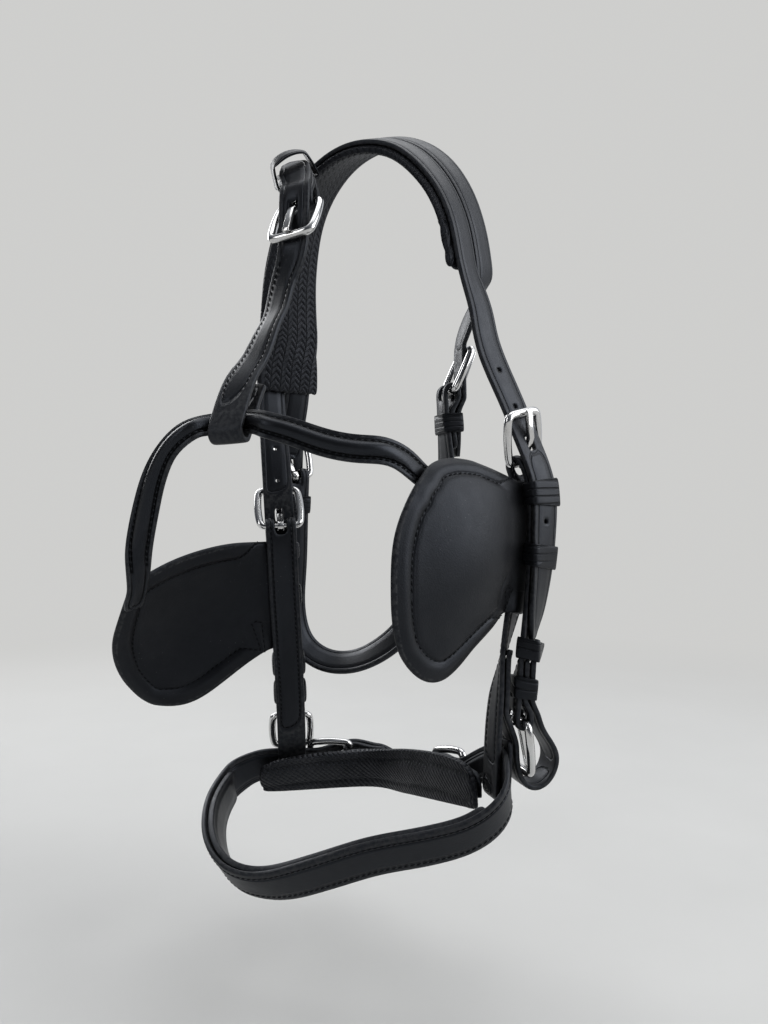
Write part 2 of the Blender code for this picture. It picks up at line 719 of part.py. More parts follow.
THROAT_KNOTS = [((-34, 44, -138), (-0.50, 0.86, 0.0)),
                ((-35, 47, -160), (-0.50, 0.86, 0.0)),
                ((-36, 49, -184), (-0.50, 0.86, 0.0)),
                ((-37, 52, -215), (-0.48, 0.86, -0.1)),
                ((-38, 54.5, -248), (-0.52, 0.80, -0.20)),
                ((-33, 54, -265), (-0.45, 0.76, -0.45)),
                ((-22, 51, -273.5), (-0.22, 0.68, -0.70)),
                ((-7, 44.5, -274.5), (0.10, 0.66, -0.72)),
                ((8, 35, -268), (0.35, 0.70, -0.60)),
                ((24, 24, -254), (0.55, 0.70, -0.40)),
                ((39, 15, -228), (0.70, 0.68, -0.15)),
                ((46, 8, -196), (0.78, 0.60, 0.0)),
                ((47, 4, -168), (0.90, 0.42, 0.0)),
                ((45, 3, -142), (0.98, 0.20, 0.0)),
                ((44, 2, -120), (0.98, 0.20, 0.0)),
                ((44, 1, -96), (0.98, 0.20, 0.0))]

crown = Route(smooth_frames(CROWN_KNOTS))
near = Route(smooth_frames(NEAR_CHEEK_KNOTS, spacing=7))
off = Route(smooth_frames(OFF_CHEEK_KNOTS, mirrored=True))
throat = Route(smooth_frames(THROAT_KNOTS))

# Layers of a cheek, from the horse outward: the centre of each ply
WINKER_ROOM = 2 * (GAP + WINKER_LIFT) + WINKER_THICK + KEEPER_THICK + KEEPER_ROOM
INNER = HALF
OUTER = STRAP_THICK + WINKER_ROOM + HALF
BILLET = OUTER + LAYER
TAIL = BILLET + LAYER
TOP_BAR = STRAP_THICK + WINKER_ROOM / 2
TOP_BAR_RISE = WINKER_ROOM / 2 - BAR_RADIUS - BAR_ROOM
NOSE_LAYER = STRAP_THICK + GAP + HALF
LEAF = NOSE_LAYER + LAYER
BIT_OUT = LEAF + LAYER


def lean_reach(n_bar, n_billet):
    """How far along the route a fastened frame's far side lies from its bar."""
    rise = n_billet + HALF + GAP + WIRE_RADIUS - n_bar
    return sqrt(BUCKLE_LENGTH ** 2 - rise ** 2)


def chape_path(route, s, toward, n_inner, root, length=CHAPE_LEAF):
    """From the end of the turned-back leaf, round the bar at s, to where the strap runs on."""
    leaf = n_inner + LAYER
    away = -toward
    path = Path(route, s + away * length, leaf)
    path.run(s + away * (SLOT_REACH + LEAF_RAMP), leaf)
    path.run(s + away * SLOT_REACH, n_inner + 2 * FOLD)
    path.run(s, n_inner + 2 * FOLD, cell="slot")
    path.turn(s, n_inner + FOLD, FOLD, 0, 180 * toward)
    path.run(s + away * SLOT_REACH, n_inner, cell="slot")
    path.run(root, n_inner)
    return path


def chape_billet(s, toward, n_inner, entry, end, drop=0.0):
    """Where a billet lies over such a chape, as (s, n) from beyond the frame to its tip."""
    away = -toward
    high = n_inner + 2 * FOLD + LAYER
    low = n_inner + 2 * LAYER
    points = [(entry, high - drop)]
    if drop:
        points += [(s + toward * DROP_END, high - drop), (s + toward * DROP_START, high)]
    ramp = SLOT_REACH + RAMP_SHIFT
    return points + [(s + away * ramp, high), (s + away * (ramp + LEAF_RAMP), low), (end, low)]


def follow(route, points):
    """Frames along a route at a height that changes in straight ramps between (s, n) points."""
    frames = []
    for (s0, n0), (s1, n1) in zip(points, points[1:]):
        for s in [s0] + route.between(s0, s1):
            point, across, out = route.at(s)
            frames.append((point + out * (n0 + (n1 - n0) * (s - s0) / (s1 - s0)), across, out))
    s, n = points[-1]
    point, across, out = route.at(s)
    frames.append((point + out * n, across, out))
    return frames


def build_cheek(side, route, bar, drop):
    """One cheek strap with its buckles, keepers and bit billet, and a loop for the noseband."""
    def down(x):
        return bar + x

    low = down(LOWER_BAR)
    loop = down(drop + NOSEBAND_WIDTH / 2 + GAP)
    path = Path(route, down(drop - NOSEBAND_WIDTH / 2 - NOSE_LEAF), LEAF)
    path.run(loop, LEAF)
    path.turn(loop, (LEAF + INNER) / 2, (LEAF - INNER) / 2, 0, 180, cell="whole")
    path.run(bar + SLOT_REACH, INNER)
    path.run(bar, INNER, cell="slot")
    path.turn(bar, TOP_BAR, TOP_BAR - INNER, 180, 180)
    path.run(bar + SLOT_REACH, OUTER, cell="slot")
    path.run(low - SLOT_REACH, OUTER)
    path.run(low, OUTER, cell="slot")
    path.turn(low, OUTER + FOLD, FOLD, 180, -180)
    path.run(low - SLOT_REACH, OUTER + 2 * FOLD, cell="slot")
    path.run(low - SLOT_REACH - LEAF_RAMP, BILLET)
    path.run(low - CHAPE_LEAF, BILLET)
    lay_strap(side + "_cheek_strap", path, STRAP_WIDTH, STRAP_THICK, LEATHER(side + "_cheek"), LANE)

    fastened(side + "_cheek_upper", route, bar - TOP_BAR_RISE, TOP_BAR, BILLET, -1)
    hanging(side + "_cheek_lower", route, low, OUTER + FOLD, 1, radians(HANG_TILT))
    for number, x in enumerate(UPPER_KEEPERS, 1):
        keeper(f"{side}_cheek_keeper_{number}", route, down(x), OUTER - HALF, BILLET + HALF, STRAP_WIDTH)
    for number, x in enumerate(LOWER_KEEPERS, 3):
        keeper(f"{side}_cheek_keeper_{number}", route, down(x), OUTER - HALF, TAIL + HALF, STRAP_WIDTH)

    path = Path(route, down(BIT_BILLET_ROOT), INNER + LAYER)
    path.run(low - 3, INNER + LAYER)
    path.run(low + 9.5, BIT_OUT)
    over = OUTER + 2 * FOLD + LAYER
    path.through([(low + x, BIT_OUT + y) for x, y in BIT_LOOP], (low - SLOT_REACH - RAMP_SHIFT, over))
    path.run(low - SLOT_REACH - LEAF_RAMP - RAMP_SHIFT, TAIL)
    path.run(down(BIT_BILLET_END), TAIL)
    lay_strap(side + "_bit_billet", path, STRAP_WIDTH, STRAP_THICK, LEATHER(side + "_bit_billet"),
              LANE, tips=(None, "point"))


def curve_points(points, steps):
    """Points on the smooth curve through points, from the second to the last but one."""
    result = []
    for i in range(1, len(points) - 2):
        a, b = Vector(points[i]), Vector(points[i + 1])
        before, after = Vector(points[i - 1]), Vector(points[i + 2])
        chord = (b - a).length
        start = ((a - before).normalized() + (b - a).normalized()).normalized() * chord / 3
        end = ((b - a).normalized() + (after - b).normalized()).normalized() * chord / 3
        curve = interpolate_bezier(a, a + start, b - end, b, steps + 1)
        result += [tuple(p) for p in curve[1:]]
    return result


def build_winker(side, route, bar, top, front, bottom, bulge):
    """A cupped leather shape: its rear edge sewn between the cheek's plies, its rim by knots."""
    layer = STRAP_THICK + GAP + WINKER_LIFT + WINKER_THICK / 2
    s0, s1 = bar + WINKER_TOP, bar + WINKER_TOP + WINKER_SEAM
    rows = [s0] + route.between(s0, s1) + [s1]
    edge = STRAP_WIDTH / 2 + 1.0
    columns = 8
    top_line = rim_line([route.place(s0, edge, layer)] + [Vector(k) for k in top], columns)
    low_line = rim_line([route.place(s1, edge, layer)] + [Vector(k) for k in bottom], columns)
    front_line = rim_line([Vector(top[-1])] + [Vector(k) for k in front] + [Vector(bottom[-1])],
                          len(rows) - 1)
    grid = []
    for i, s in enumerate(rows):
        v = i / (len(rows) - 1)
        rear = route.place(s, edge, layer)
        line = [route.place(s, STRAP_WIDTH / 2 - WINKER_SEWN, layer)]
        for j in range(columns + 1):
            w = j / columns
            spot = rear * (1 - w) + front_line[i] * w + top_line[j] * (1 - v) + low_line[j] * v
            spot -= top_line[0] * (1 - w) * (1 - v) + top_line[-1] * w * (1 - v)
            spot -= low_line[0] * (1 - w) * v + low_line[-1] * w * v
            out = route.at(s)[2]
            spot += out * bulge * sin(pi * v) * sin(pi * min(w * 1.1, 1.0))
            line.append(spot)
        grid.append(line)
    bm = bmesh.new()
    sheets = []
    for face in (-1, 1):
        sheet = []
        for i, line in enumerate(grid):
            row = []
            for j, spot in enumerate(line):
                if j < 2:
                    out = route.at(rows[i])[2]
                else:
                    a = grid[min(i + 1, len(grid) - 1)][j] - grid[max(i - 1, 0)][j]
                    b = line[min(j + 1, len(line) - 1)] - line[j - 1]
                    out = a.cross(b).normalized()
                    if out.dot(route.at(rows[i])[2]) < 0:
                        out = -out
                row.append(bm.verts.new(spot + out * face * WINKER_THICK / 2))
            sheet.append(row)
        sheets.append(sheet)
    high, wide = len(grid), len(grid[0])
    for sheet in sheets:
        for i in range(high - 1):
            for j in range(wide - 1):
                bm.faces.new((sheet[i][j], sheet[i + 1][j], sheet[i + 1][j + 1], sheet[i][j + 1]))
    border = [(i, 0) for i in range(high)] + [(high - 1, j) for j in range(1, wide)]
    border += [(i, wide - 1) for i in range(high - 2, -1, -1)] + [(0, j) for j in range(wide - 2, 0, -1)]
    for k in range(len(border)):
        (i, j), (p, q) = border[k - 1], border[k]
        bm.faces.new((sheets[0][i][j], sheets[0][p][q], sheets[1][p][q], sheets[1][i][j]))
    name = side + "_winker"
    made = finish(name, bm, LEATHER(name))
    spots = [v.co / MM for v in made.data.vertices]
    return BVHTree.FromPolygons(spots, [tuple(f.vertices) for f in made.data.polygons])


def rim_line(knots, count):
    """count + 1 evenly spaced points on the smooth curve through the knots."""
    line = [knots[0]]
    padded = [knots[0] * 2 - knots[1]] + list(knots) + [knots[-1] * 2 - knots[-2]]
    line += [Vector(p) for p in curve_points(padded, 12)]
    lengths = [0.0]
    for p, q in zip(line, line[1:]):
        lengths.append(lengths[-1] + (q - p).length)
    result = []
    k = 0
    for i in range(count + 1):
        s = lengths[-1] * i / count
        while k < len(line) - 2 and lengths[k + 1] < s:
            k += 1
        t = min(max((s - lengths[k]) / (lengths[k + 1] - lengths[k]), 0.0), 1.0)
        result.append(line[k].lerp(line[k + 1], t))
    return result


def sweep_section(name, route, s0, s1, section, look):
    """A closed section carried along a route: (u, n) points, or a function of s that gives them."""
    bm = bmesh.new()
    rings = []
    for s in [s0] + route.between(s0, s1) + [s1]:
        points = section(s) if callable(section) else section
        rings.append([bm.verts.new(route.place(s, u, n)) for u, n in points])
        section_size = len(points)
    for a, b in zip(rings, rings[1:]):
        for k in range(section_size):
            m = (k + 1) % section_size
            if points[m][0] > points[k][0]:
                bm.faces.new((a[k], a[m], b[m]))
                bm.faces.new((a[k], b[m], b[k]))
            else:
                bm.faces.new((a[k], a[m], b[k]))
                bm.faces.new((a[m], b[m], b[k]))
    bm.faces.new(rings[0])
    bm.faces.new(rings[-1])
    bmesh.ops.triangulate(bm, faces=[f for f in bm.faces if len(f.verts) > 4])
    return finish(name, bm, look)


def slab(width, low, high, bevel=EDGE_BEVEL):
    """A strap's plain section with small chamfers, from low to high."""
    half = width / 2
    return [(-half, low + bevel), (-half + bevel, low), (-LANE, low), (LANE, low), (half - bevel, low),
            (half, low + bevel), (half, high - bevel), (half - bevel, high), (LANE, high), (-LANE, high),
            (-half + bevel, high), (-half, high - bevel)]


def clear_scene():
    for item in list(bpy.data.objects):
        bpy.data.objects.remove(item, do_unlink=True)


# Winker rims: from beside the cheek along the top, down the front, back along the bottom
NEAR_TOP = [(65.5, -44, -169), (50, -55, -164.4), (41, -62, -164.5), (35.4, -67, -167)]
NEAR_FRONT = [(28.9, -78, -174.8), (22.9, -86, -186), (18.7, -90, -197.5), (17.5, -92, -218),
              (18.7, -89, -239), (22.9, -84, -251)]
NEAR_BOTTOM = [(74.4, -38, -232.9), (63.3, -47, -242.8), (56, -54, -248), (44.3, -65, -259.6),
               (36.4, -72, -262), (30, -78, -259)]
OFF_TOP = [(-63.7, -14, -204), (-80.6, -28, -208.5), (-92, -40, -214.4), (-100.4, -50, -221.4)]
OFF_FRONT = [(-109, -42, -239), (-116, -32, -254), (-115, -20, -271)]
OFF_BOTTOM = [(-46, 20, -262), (-60, 14, -271), (-72, 8, -280.5), (-85, 2, -288.5), (-96, -4, -289),
              (-108, -10, -283.5)]
STAY_OFF_SEWN = [(-101, -45, -233), (-99.5, -47, -227), (-98, -49, -221.5)]
STAY_NEAR_SEWN = [(35.3, -69.6, -173.4), (39.3, -66.6, -176.9), (43.3, -62.6, -180.4)]
OFF_WINKER_OUT = (-0.55, 0.83, 0.10)
NEAR_WINKER_OUT = (0.66, -0.75, 0.0)
STAY_OFF = [((-95, -55.5, -206), (0.35, -0.90, 0.20)),
            ((-90.4, -60, -189.5), (0.10, -0.95, 0.25)),
            ((-84, -66, -172), (-0.10, -0.95, 0.30)),
            ((-76, -71, -160), (-0.22, -0.90, 0.38)),
            ((-66, -75, -153), (-0.28, -0.85, 0.46))]
STAY_NEAR = [((-36, -81, -152), (-0.22, -0.88, 0.42)),
             ((-23, -82, -155), (-0.12, -0.94, 0.30)),
             ((-10, -83, -160), (0.0, -0.98, 0.15)),
             ((5, -83, -162.6), (0.10, -0.98, 0.10)),
             ((18, -79, -162.8), (0.28, -0.95, 0.10))]
JAW_MIDDLE = [((12, 41.5, -336), (0.42, 0.86, 0.26)), ((20.5, 30.5, -333.5), (0.79, 0.60, 0.14))]
JAW_END = [((27.5, 18, -329.2), (0.88, 0.475, 0.0)), ((57, -38, -316), (0.88, 0.475, 0.0))]
NOSE_KNOTS = [((-70, 46, -341), (-0.55, 0.82, 0.1)),
              ((-75, 28, -345), (-0.95, 0.30, -0.1)),
              ((-75, 2, -350), (-0.95, 0.0, -0.30)),
              ((-68.5, -20, -357.5), (-0.80, -0.30, -0.50)),
              ((-55, -36, -362.5), (-0.60, -0.52, -0.60)),
              ((-38, -43, -362), (-0.35, -0.72, -0.58)),
              ((-17, -50, -354), (-0.12, -0.86, -0.50)),
              ((10, -54, -344), (0.0, -0.90, -0.45)),
              ((38, -58, -337), (0.15, -0.90, -0.40)),
              ((56, -61, -330), (0.40, -0.85, -0.35)),
              ((68, -59, -321), (0.72, -0.65, -0.25)),
              ((72.3, -53, -315), (0.93, -0.34, -0.1))]

clear_scene()
near_bar = near.nearest(Vector(NEAR_CHEEK_KNOTS[2][0]))
off_bar = off.nearest(Vector(OFF_CHEEK_KNOTS[2][0]))

# Crown pad and the two straps sewn along it
seat = PAD_THICK + GAP + HALF
side_step = (STRAP_WIDTH + STRIP_GAP) / 2
lanes = [PAD_WIDTH / 2, side_step + STRAP_WIDTH / 2, side_step - STRAP_WIDTH / 2]
bevel = EDGE_BEVEL * 2
pad_section = [(-lanes[0], bevel), (-lanes[0] + bevel, 0.0), (0.0, 0.0), (lanes[0] - bevel, 0.0),
               (lanes[0], bevel), (lanes[0], PAD_THICK - bevel), (lanes[0] - bevel, PAD_THICK),
               (side_step, PAD_THICK), (0.0, PAD_THICK), (-side_step, PAD_THICK),
               (-lanes[0] + bevel, PAD_THICK), (-lanes[0], PAD_THICK - bevel)]
sweep_section("crown_pad", crown, 0.0, crown.length, pad_section, LINING("crown_pad"))

entry_near = near_bar - lean_reach(TOP_BAR, BILLET) - 6
entry_off = off_bar - lean_reach(TOP_BAR, BILLET) - 6
off_end = off.shifted(off_bar + CROWN_BILLET_END, entry_off, 0, BILLET)
near_end = near.shifted(entry_near, near_bar + CROWN_BILLET_END, 0, BILLET)
crown_front = crown.shifted(0, crown.length, side_step, seat)
near_mid = [((61.5, -31, -90), (0.68, -0.73, 0.0)), ((64, -32, -106), (0.62, -0.78, 0.0))]
front = chain(off_end, [], crown_front, near_mid, near_end)
holes = []
for route, bar, way in ((off, off_bar, -1), (near, near_bar, 1)):
    used = tongue_hole(route, bar - TOP_BAR_RISE, TOP_BAR, BILLET, -1, front)
    holes.append(used)
    holes += plain_holes(used[0], way, (-2, -1, 2, 3))
path = Path(front, 0, 0).run(front.length, 0, holes=sorted(holes))
lay_strap("crown_front_strap", path, STRAP_WIDTH, STRAP_THICK, LEATHER("crown_front"), LANE,
          tips=("point", "point"))

# Throatlash, its chapes turned out round both bars
off_throat = THROAT_BAR
near_throat = throat.length - THROAT_BAR
path = chape_path(throat, off_throat, -1, HALF, near_throat - SLOT_REACH)
path.run(near_throat, HALF, cell="slot")
path.turn(near_throat, HALF + FOLD, FOLD, 180, -180)
path.run(near_throat - SLOT_REACH, HALF + 2 * FOLD, cell="slot")
path.run(near_throat - SLOT_REACH - LEAF_RAMP, HALF + LAYER)
path.run(near_throat - CHAPE_LEAF, HALF + LAYER)
lay_strap("throatlash", path, STRAP_WIDTH, STRAP_THICK, LEATHER("throatlash"), LANE)
throat_high = HALF + 2 * FOLD + LAYER
throat_low = HALF + 2 * LAYER
reach = lean_reach(HALF + FOLD, throat_high) + 3
for side, s, toward in (("off", off_throat, -1), ("near", near_throat, 1)):
    fastened(side + "_throat", throat, s, HALF + FOLD, throat_high, toward)
    keeper(side + "_throat_keeper", throat, s - toward * KEEPER_SET,
           0, throat_low + HALF, STRAP_WIDTH)
off_tail = flipped(follow(throat, chape_billet(off_throat, -1, HALF, off_throat - reach, off_throat + 34)))
near_tail = flipped(follow(throat, chape_billet(near_throat, 1, HALF, near_throat + reach, near_throat - 34)))
crown_rear = crown.shifted(0, crown.length, -side_step, seat)
rear = chain(off_tail[::-1], [], crown_rear, [], near_tail)
holes = []
for s, toward, way in ((off_throat, -1, -1), (near_throat, 1, 1)):
    used = tongue_hole(throat, s, HALF + FOLD, throat_high, toward, rear)
    holes.append(used)
path = Path(rear, 0, 0).run(rear.length, 0, holes=sorted(holes))
lay_strap("crown_rear_strap", path, STRAP_WIDTH, STRAP_THICK, LEATHER("crown_rear"), LANE,
          tips=("point", "point"))

# Cheeks
build_cheek("near", near, near_bar, NOSEBAND_DROP)
build_cheek("off", off, off_bar, OFF_NOSEBAND_DROP)

# Winkers, and the stay sewn to their inner faces
near_winker = build_winker("near", near, near_bar, NEAR_TOP, NEAR_FRONT, NEAR_BOTTOM, WINKER_BULGE)
off_winker = build_winker("off", off, off_bar, OFF_TOP, OFF_FRONT, OFF_BOTTOM, WINKER_BULGE)

def seated(tree, guides, outward, side, room, lead=0.0):
    """Knots on a winker's inner face, found along its outward way from near the guide points.

    The lead is the extra room where the stay comes in under the winker's rim.
    """
    way = Vector(outward).normalized()
    spots = []
    inward = Vector()
    for guide in guides:
        spot, normal, _, _ = tree.ray_cast(Vector(guide) - way * STAY_SEARCH * 4, way)
        spots.append(spot)
        inward += normal if normal.dot(way) < 0 else -normal
    inward.normalize()
    last = spots[0] if side < 0 else spots[-1]
    return [(tuple(spot + inward * (room + (lead if spot is last else 0.0))), tuple(inward * side))
            for spot in spots]


# Forehead strap with its chape, buckle and keeper
root = crown.nearest(Vector(FOREHEAD_ROOT))
chape_floor = seat + HALF + GAP + CHAPE_LIFT
_, across, out = crown.at(root)
side_on = across.cross(out).normalized()
head = [(crown.place(root, u, chape_floor), side_on, out) for u in (-4.0, 8.0, PAD_WIDTH / 2 + 2)]
forehead = chain(head, FOREHEAD_TOP, smooth_frames(FOREHEAD_BUCKLE), FOREHEAD_MIDDLE,
                 smooth_frames(FOREHEAD_END), spacing=6)
forehead_bar = forehead.nearest(Vector(FOREHEAD_HINGE))
stay_cross = forehead.nearest(Vector(STAY_CROSSING))
behind_stay = -(STAY_RAISE + 2 * STAY_ROOM + HALF)
high = HALF + 2 * FOLD + LAYER
low = HALF + 2 * LAYER
lay_strap("forehead_chape", chape_path(forehead, forehead_bar, 1, HALF, 0, RING_LEAF), STRAP_WIDTH,
          STRAP_THICK, LEATHER("forehead_chape"), LANE)
fastened("forehead", forehead, forehead_bar, HALF + FOLD, high, 1)
keeper("forehead_keeper", forehead, forehead_bar - RING_SET, 0, low + HALF + RING_RISE,
       STRAP_WIDTH + RING_SPREAD)
half_hole = tongue_hole(forehead, forehead_bar, HALF + FOLD, high, 1, forehead)[1]
pierced = forehead_bar + tongue_cross(HALF + FOLD, high)[1]
below = forehead_bar + BUCKLE_LENGTH + 4
turn = stay_cross + STAY_WIDTH / 2 + STAY_ROOM
path = Path(forehead, stay_cross - STAY_WIDTH / 2 - STAY_LEAF, behind_stay)
path.run(turn, behind_stay)
path.turn(turn, (HALF + behind_stay) / 2, (HALF - behind_stay) / 2, 180, -180, cell="whole")
path.run(below + 32, HALF)
path.run(below, high)
path.run(forehead_bar - SLOT_REACH - RAMP_SHIFT, high, holes=[(pierced, half_hole)])
path.run(forehead_bar - SLOT_REACH - LEAF_RAMP - RAMP_SHIFT, low)
path.run(forehead_bar - RING_LEAF, low)
lay_strap("forehead_strap", path, STRAP_WIDTH, STRAP_THICK, LEATHER("forehead"), LANE,
          tips=(None, "point"))

# Stay
crossed = crossing(forehead, stay_cross, -(STAY_ROOM + STAY_RAISE), 10, -10)
off_sewn = seated(off_winker, STAY_OFF_SEWN, OFF_WINKER_OUT, 1, STAY_CLEAR)
near_sewn = seated(near_winker, STAY_NEAR_SEWN, NEAR_WINKER_OUT, -1, STAY_UNDER + STAY_FLANGE, 0.6)
stay = chain(smooth_frames(off_sewn, spacing=5), STAY_OFF, crossed, STAY_NEAR,
             smooth_frames(near_sewn, spacing=5))


def stay_hit(s, u):
    """How far the stay would move out to lie against the winker's inner face, or None beside it."""
    out = stay.at(s)[2].normalized()
    if s < stay.length / 2:
        hit = off_winker.ray_cast(stay.place(s, u, STAY_SEARCH), -out, 2 * STAY_SEARCH)
        return STAY_SEARCH - hit[3] + STAY_CLEAR if hit[0] and hit[1].dot(out) > 0.5 else None
    hit = near_winker.ray_cast(stay.place(s, u, -STAY_SEARCH), out, 2 * STAY_SEARCH)
    return hit[3] - STAY_SEARCH - STAY_UNDER - STAY_FLANGE if hit[0] and hit[1].dot(out) < -0.5 else None


def stay_shift(s, u):
    """The shift that seats the stay's ends, level across it and faded out beyond the winkers."""
    toward = -2.0 if s < stay.length / 2 else 2.0
    for step in range(9):
        x = s + toward * step
        if not 0.0 <= x <= stay.length:
            break
        hits = [(w, stay_hit(x, w)) for w in (-5.5, -2.5, 0.0, 2.5, 5.5)]
        hits = [(w, h) for w, h in hits if h is not None]
        if hits:
            middle = sum(w for w, _ in hits) / len(hits)
            mean = sum(h for _, h in hits) / len(hits)
            spread = sum((w - middle) ** 2 for w, _ in hits)
            slope = sum((w - middle) * (h - mean) for w, h in hits) / spread if spread > 4 else 0.0
            return (mean + min(max(slope, -0.2), 0.2) * (u - middle)) * (1 - step / 9)
    return 0.0


def stay_section(s):
    """Flat flanges and a raised bead that runs out where the stay is sewn to a winker."""
    ends = min(s, stay.length - s)
    bead = STAY_FLANGE + (STAY_RAISE - STAY_FLANGE) * min(max((ends - STAY_FLAT) / 12, 0.06), 1.0)
    half, foot, top, rim = STAY_WIDTH / 2, STAY_BEAD / 2 + 0.8, STAY_BEAD / 2 - 0.8, 0.3
    taper = 0.7 if ends < 1 else 1.0
    points = [(-half, rim), (-half + rim, 0.0), (-foot, 0.0), (foot, 0.0), (half - rim, 0.0), (half, rim),
              (half, STAY_FLANGE - rim), (half - rim, STAY_FLANGE), (foot, STAY_FLANGE), (top, bead),
              (-top, bead), (-foot, STAY_FLANGE), (-half + rim, STAY_FLANGE), (-half, STAY_FLANGE - rim)]
    return [(u * taper, n + stay_shift(s, u * taper)) for u, n in points]


sweep_section("winker_stay", stay, 0.0, stay.length, stay_section, LEATHER("winker_stay"))

# Jaw strap and its lining, laid against the inner plies of both cheeks
jaw_floor = JAW_LINING_THICK + GAP
chape_base = jaw_floor + LAYER + HALF
off_cross = off_bar + OFF_NOSEBAND_DROP
near_cross = near_bar + NOSEBAND_DROP
behind = -(jaw_floor + STRAP_THICK + GAP)
jaw_cross = flipped(crossing(off, off_cross, behind, JAW_REACH, -38))
jaw = chain(jaw_cross, JAW_MIDDLE, smooth_frames(JAW_END))
lining = slab(JAW_WIDTH, 0.0, JAW_LINING_THICK - BEND_ROOM)
sweep_section("jaw_lining", jaw, 0.0, jaw.length, lining, LINING("jaw_lining"))
sweep_section("jaw_strap", jaw, 0.0, jaw.length, slab(STRAP_WIDTH, jaw_floor, jaw_floor + STRAP_THICK),
              LEATHER("jaw_strap"))
off_jaw = JAW_REACH + STRAP_WIDTH / 2 + OFF_JAW_CLEAR + BUCKLE_LENGTH
near_jaw = jaw.length - NEAR_JAW_BAR
jaw_high = chape_base + 2 * FOLD + LAYER + BEND_ROOM
tails = {}
for side, s, toward in (("off", off_jaw, -1), ("near", near_jaw, 1)):
    away = -toward
    tab = chape_path(jaw, s, toward, chape_base, s + away * (JAW_CHAPE + 2), JAW_CHAPE)
    lay_strap(side + "_jaw_chape", tab, STRAP_WIDTH, STRAP_THICK, LEATHER(side + "_jaw_chape"), LANE)
    fastened(side + "_jaw", jaw, s, chape_base + FOLD, jaw_high, toward, drop=JAW_DROP)
    entry = s + toward * (BUCKLE_LENGTH + (1 if side == "off" else 4))
    points = chape_billet(s, toward, chape_base, entry, s + away * BILLET_TAIL, JAW_DROP)
    tails[side] = flipped(follow(jaw, [(x, n + BEND_ROOM) for x, n in points]))

# Noseband: a billet at each end, through both cheek loops and round the nose
over_jaw = jaw_floor + 2 * LAYER + HALF
nose_off = follow(jaw, [(JAW_REACH + STRAP_WIDTH / 2, over_jaw), (0, over_jaw)])
nose = chain(tails["off"][::-1], [], flipped(nose_off), NOSE_KNOTS,
             crossing(near, near_cross, NOSE_LAYER, 9.5, -9.5), [], tails["near"])
holes = []
for s, toward, way in ((off_jaw, -1, 1), (near_jaw, 1, -1)):
    used = tongue_hole(jaw, s, chape_base + FOLD, jaw_high, toward, nose, JAW_DROP)
    holes.append(used)
front_start = nose.nearest(off.place(off_cross, STRAP_WIDTH / 2, NOSE_LAYER))
front_end = nose.nearest(near.place(near_cross, STRAP_WIDTH / 2, NOSE_LAYER))


def nose_width(x):
    """Full width in front of the cheeks, billet width behind them."""
    past = max(front_start - x, x - front_end, 0.0)
    return NOSEBAND_WIDTH + (STRAP_WIDTH - NOSEBAND_WIDTH) * min(past / 26.0, 1.0)


path = Path(nose, 0, 0).run(nose.length, 0, holes=sorted(holes))
lay_strap("noseband", path, nose_width, STRAP_THICK, LEATHER("noseband"), LANE, tips=("point", "point"))
lining = slab(NOSE_LINING_WIDTH, -HALF - GAP - NOSE_LINING_THICK, -HALF - GAP)
sweep_section("noseband_lining", nose, front_start + LINING_INSET[0], front_end - LINING_INSET[1], lining,
              LINING("noseband_lining"))
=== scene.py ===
"""Driving bridle with winkers: leather, linings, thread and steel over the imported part."""
from math import cos, pi, radians, sin

import bmesh
import bpy
import numpy as np
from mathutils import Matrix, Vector
from mathutils.kdtree import KDTree


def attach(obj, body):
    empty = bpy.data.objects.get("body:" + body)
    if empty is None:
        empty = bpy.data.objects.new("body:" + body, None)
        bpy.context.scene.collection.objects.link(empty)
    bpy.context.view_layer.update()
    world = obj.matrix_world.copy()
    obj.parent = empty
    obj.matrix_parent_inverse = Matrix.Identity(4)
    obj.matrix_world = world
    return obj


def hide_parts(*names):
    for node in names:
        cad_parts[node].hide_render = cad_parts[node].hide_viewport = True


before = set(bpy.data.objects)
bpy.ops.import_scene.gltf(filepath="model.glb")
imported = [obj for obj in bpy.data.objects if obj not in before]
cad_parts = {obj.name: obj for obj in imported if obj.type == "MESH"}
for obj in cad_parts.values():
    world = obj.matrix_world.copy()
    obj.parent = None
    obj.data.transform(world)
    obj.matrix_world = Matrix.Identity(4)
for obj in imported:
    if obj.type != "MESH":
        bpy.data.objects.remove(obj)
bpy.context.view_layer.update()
MM = 0.001
SIDES = ("near", "off")
BUCKLES = ["forehead"] + [side + place for side in SIDES
                          for place in ("_cheek_upper", "_cheek_lower", "_throat", "_jaw")]
KEEPERS = ["forehead_keeper"] + [side + "_throat_keeper" for side in SIDES]
KEEPERS += [f"{side}_cheek_keeper_{i}" for side in SIDES for i in (1, 2, 3, 4)]
CHAPES = ["forehead_chape"] + [side + "_jaw_chape" for side in SIDES]
BILLETS = ["crown_front_strap", "crown_rear_strap", "throatlash"]
BILLETS += [side + "_bit_billet" for side in SIDES]
SEWN = ["forehead_strap", "winker_stay", "noseband", "jaw_strap"]
SEWN += [side + "_cheek_strap" for side in SIDES]
WINKERS = [side + "_winker" for side in SIDES]
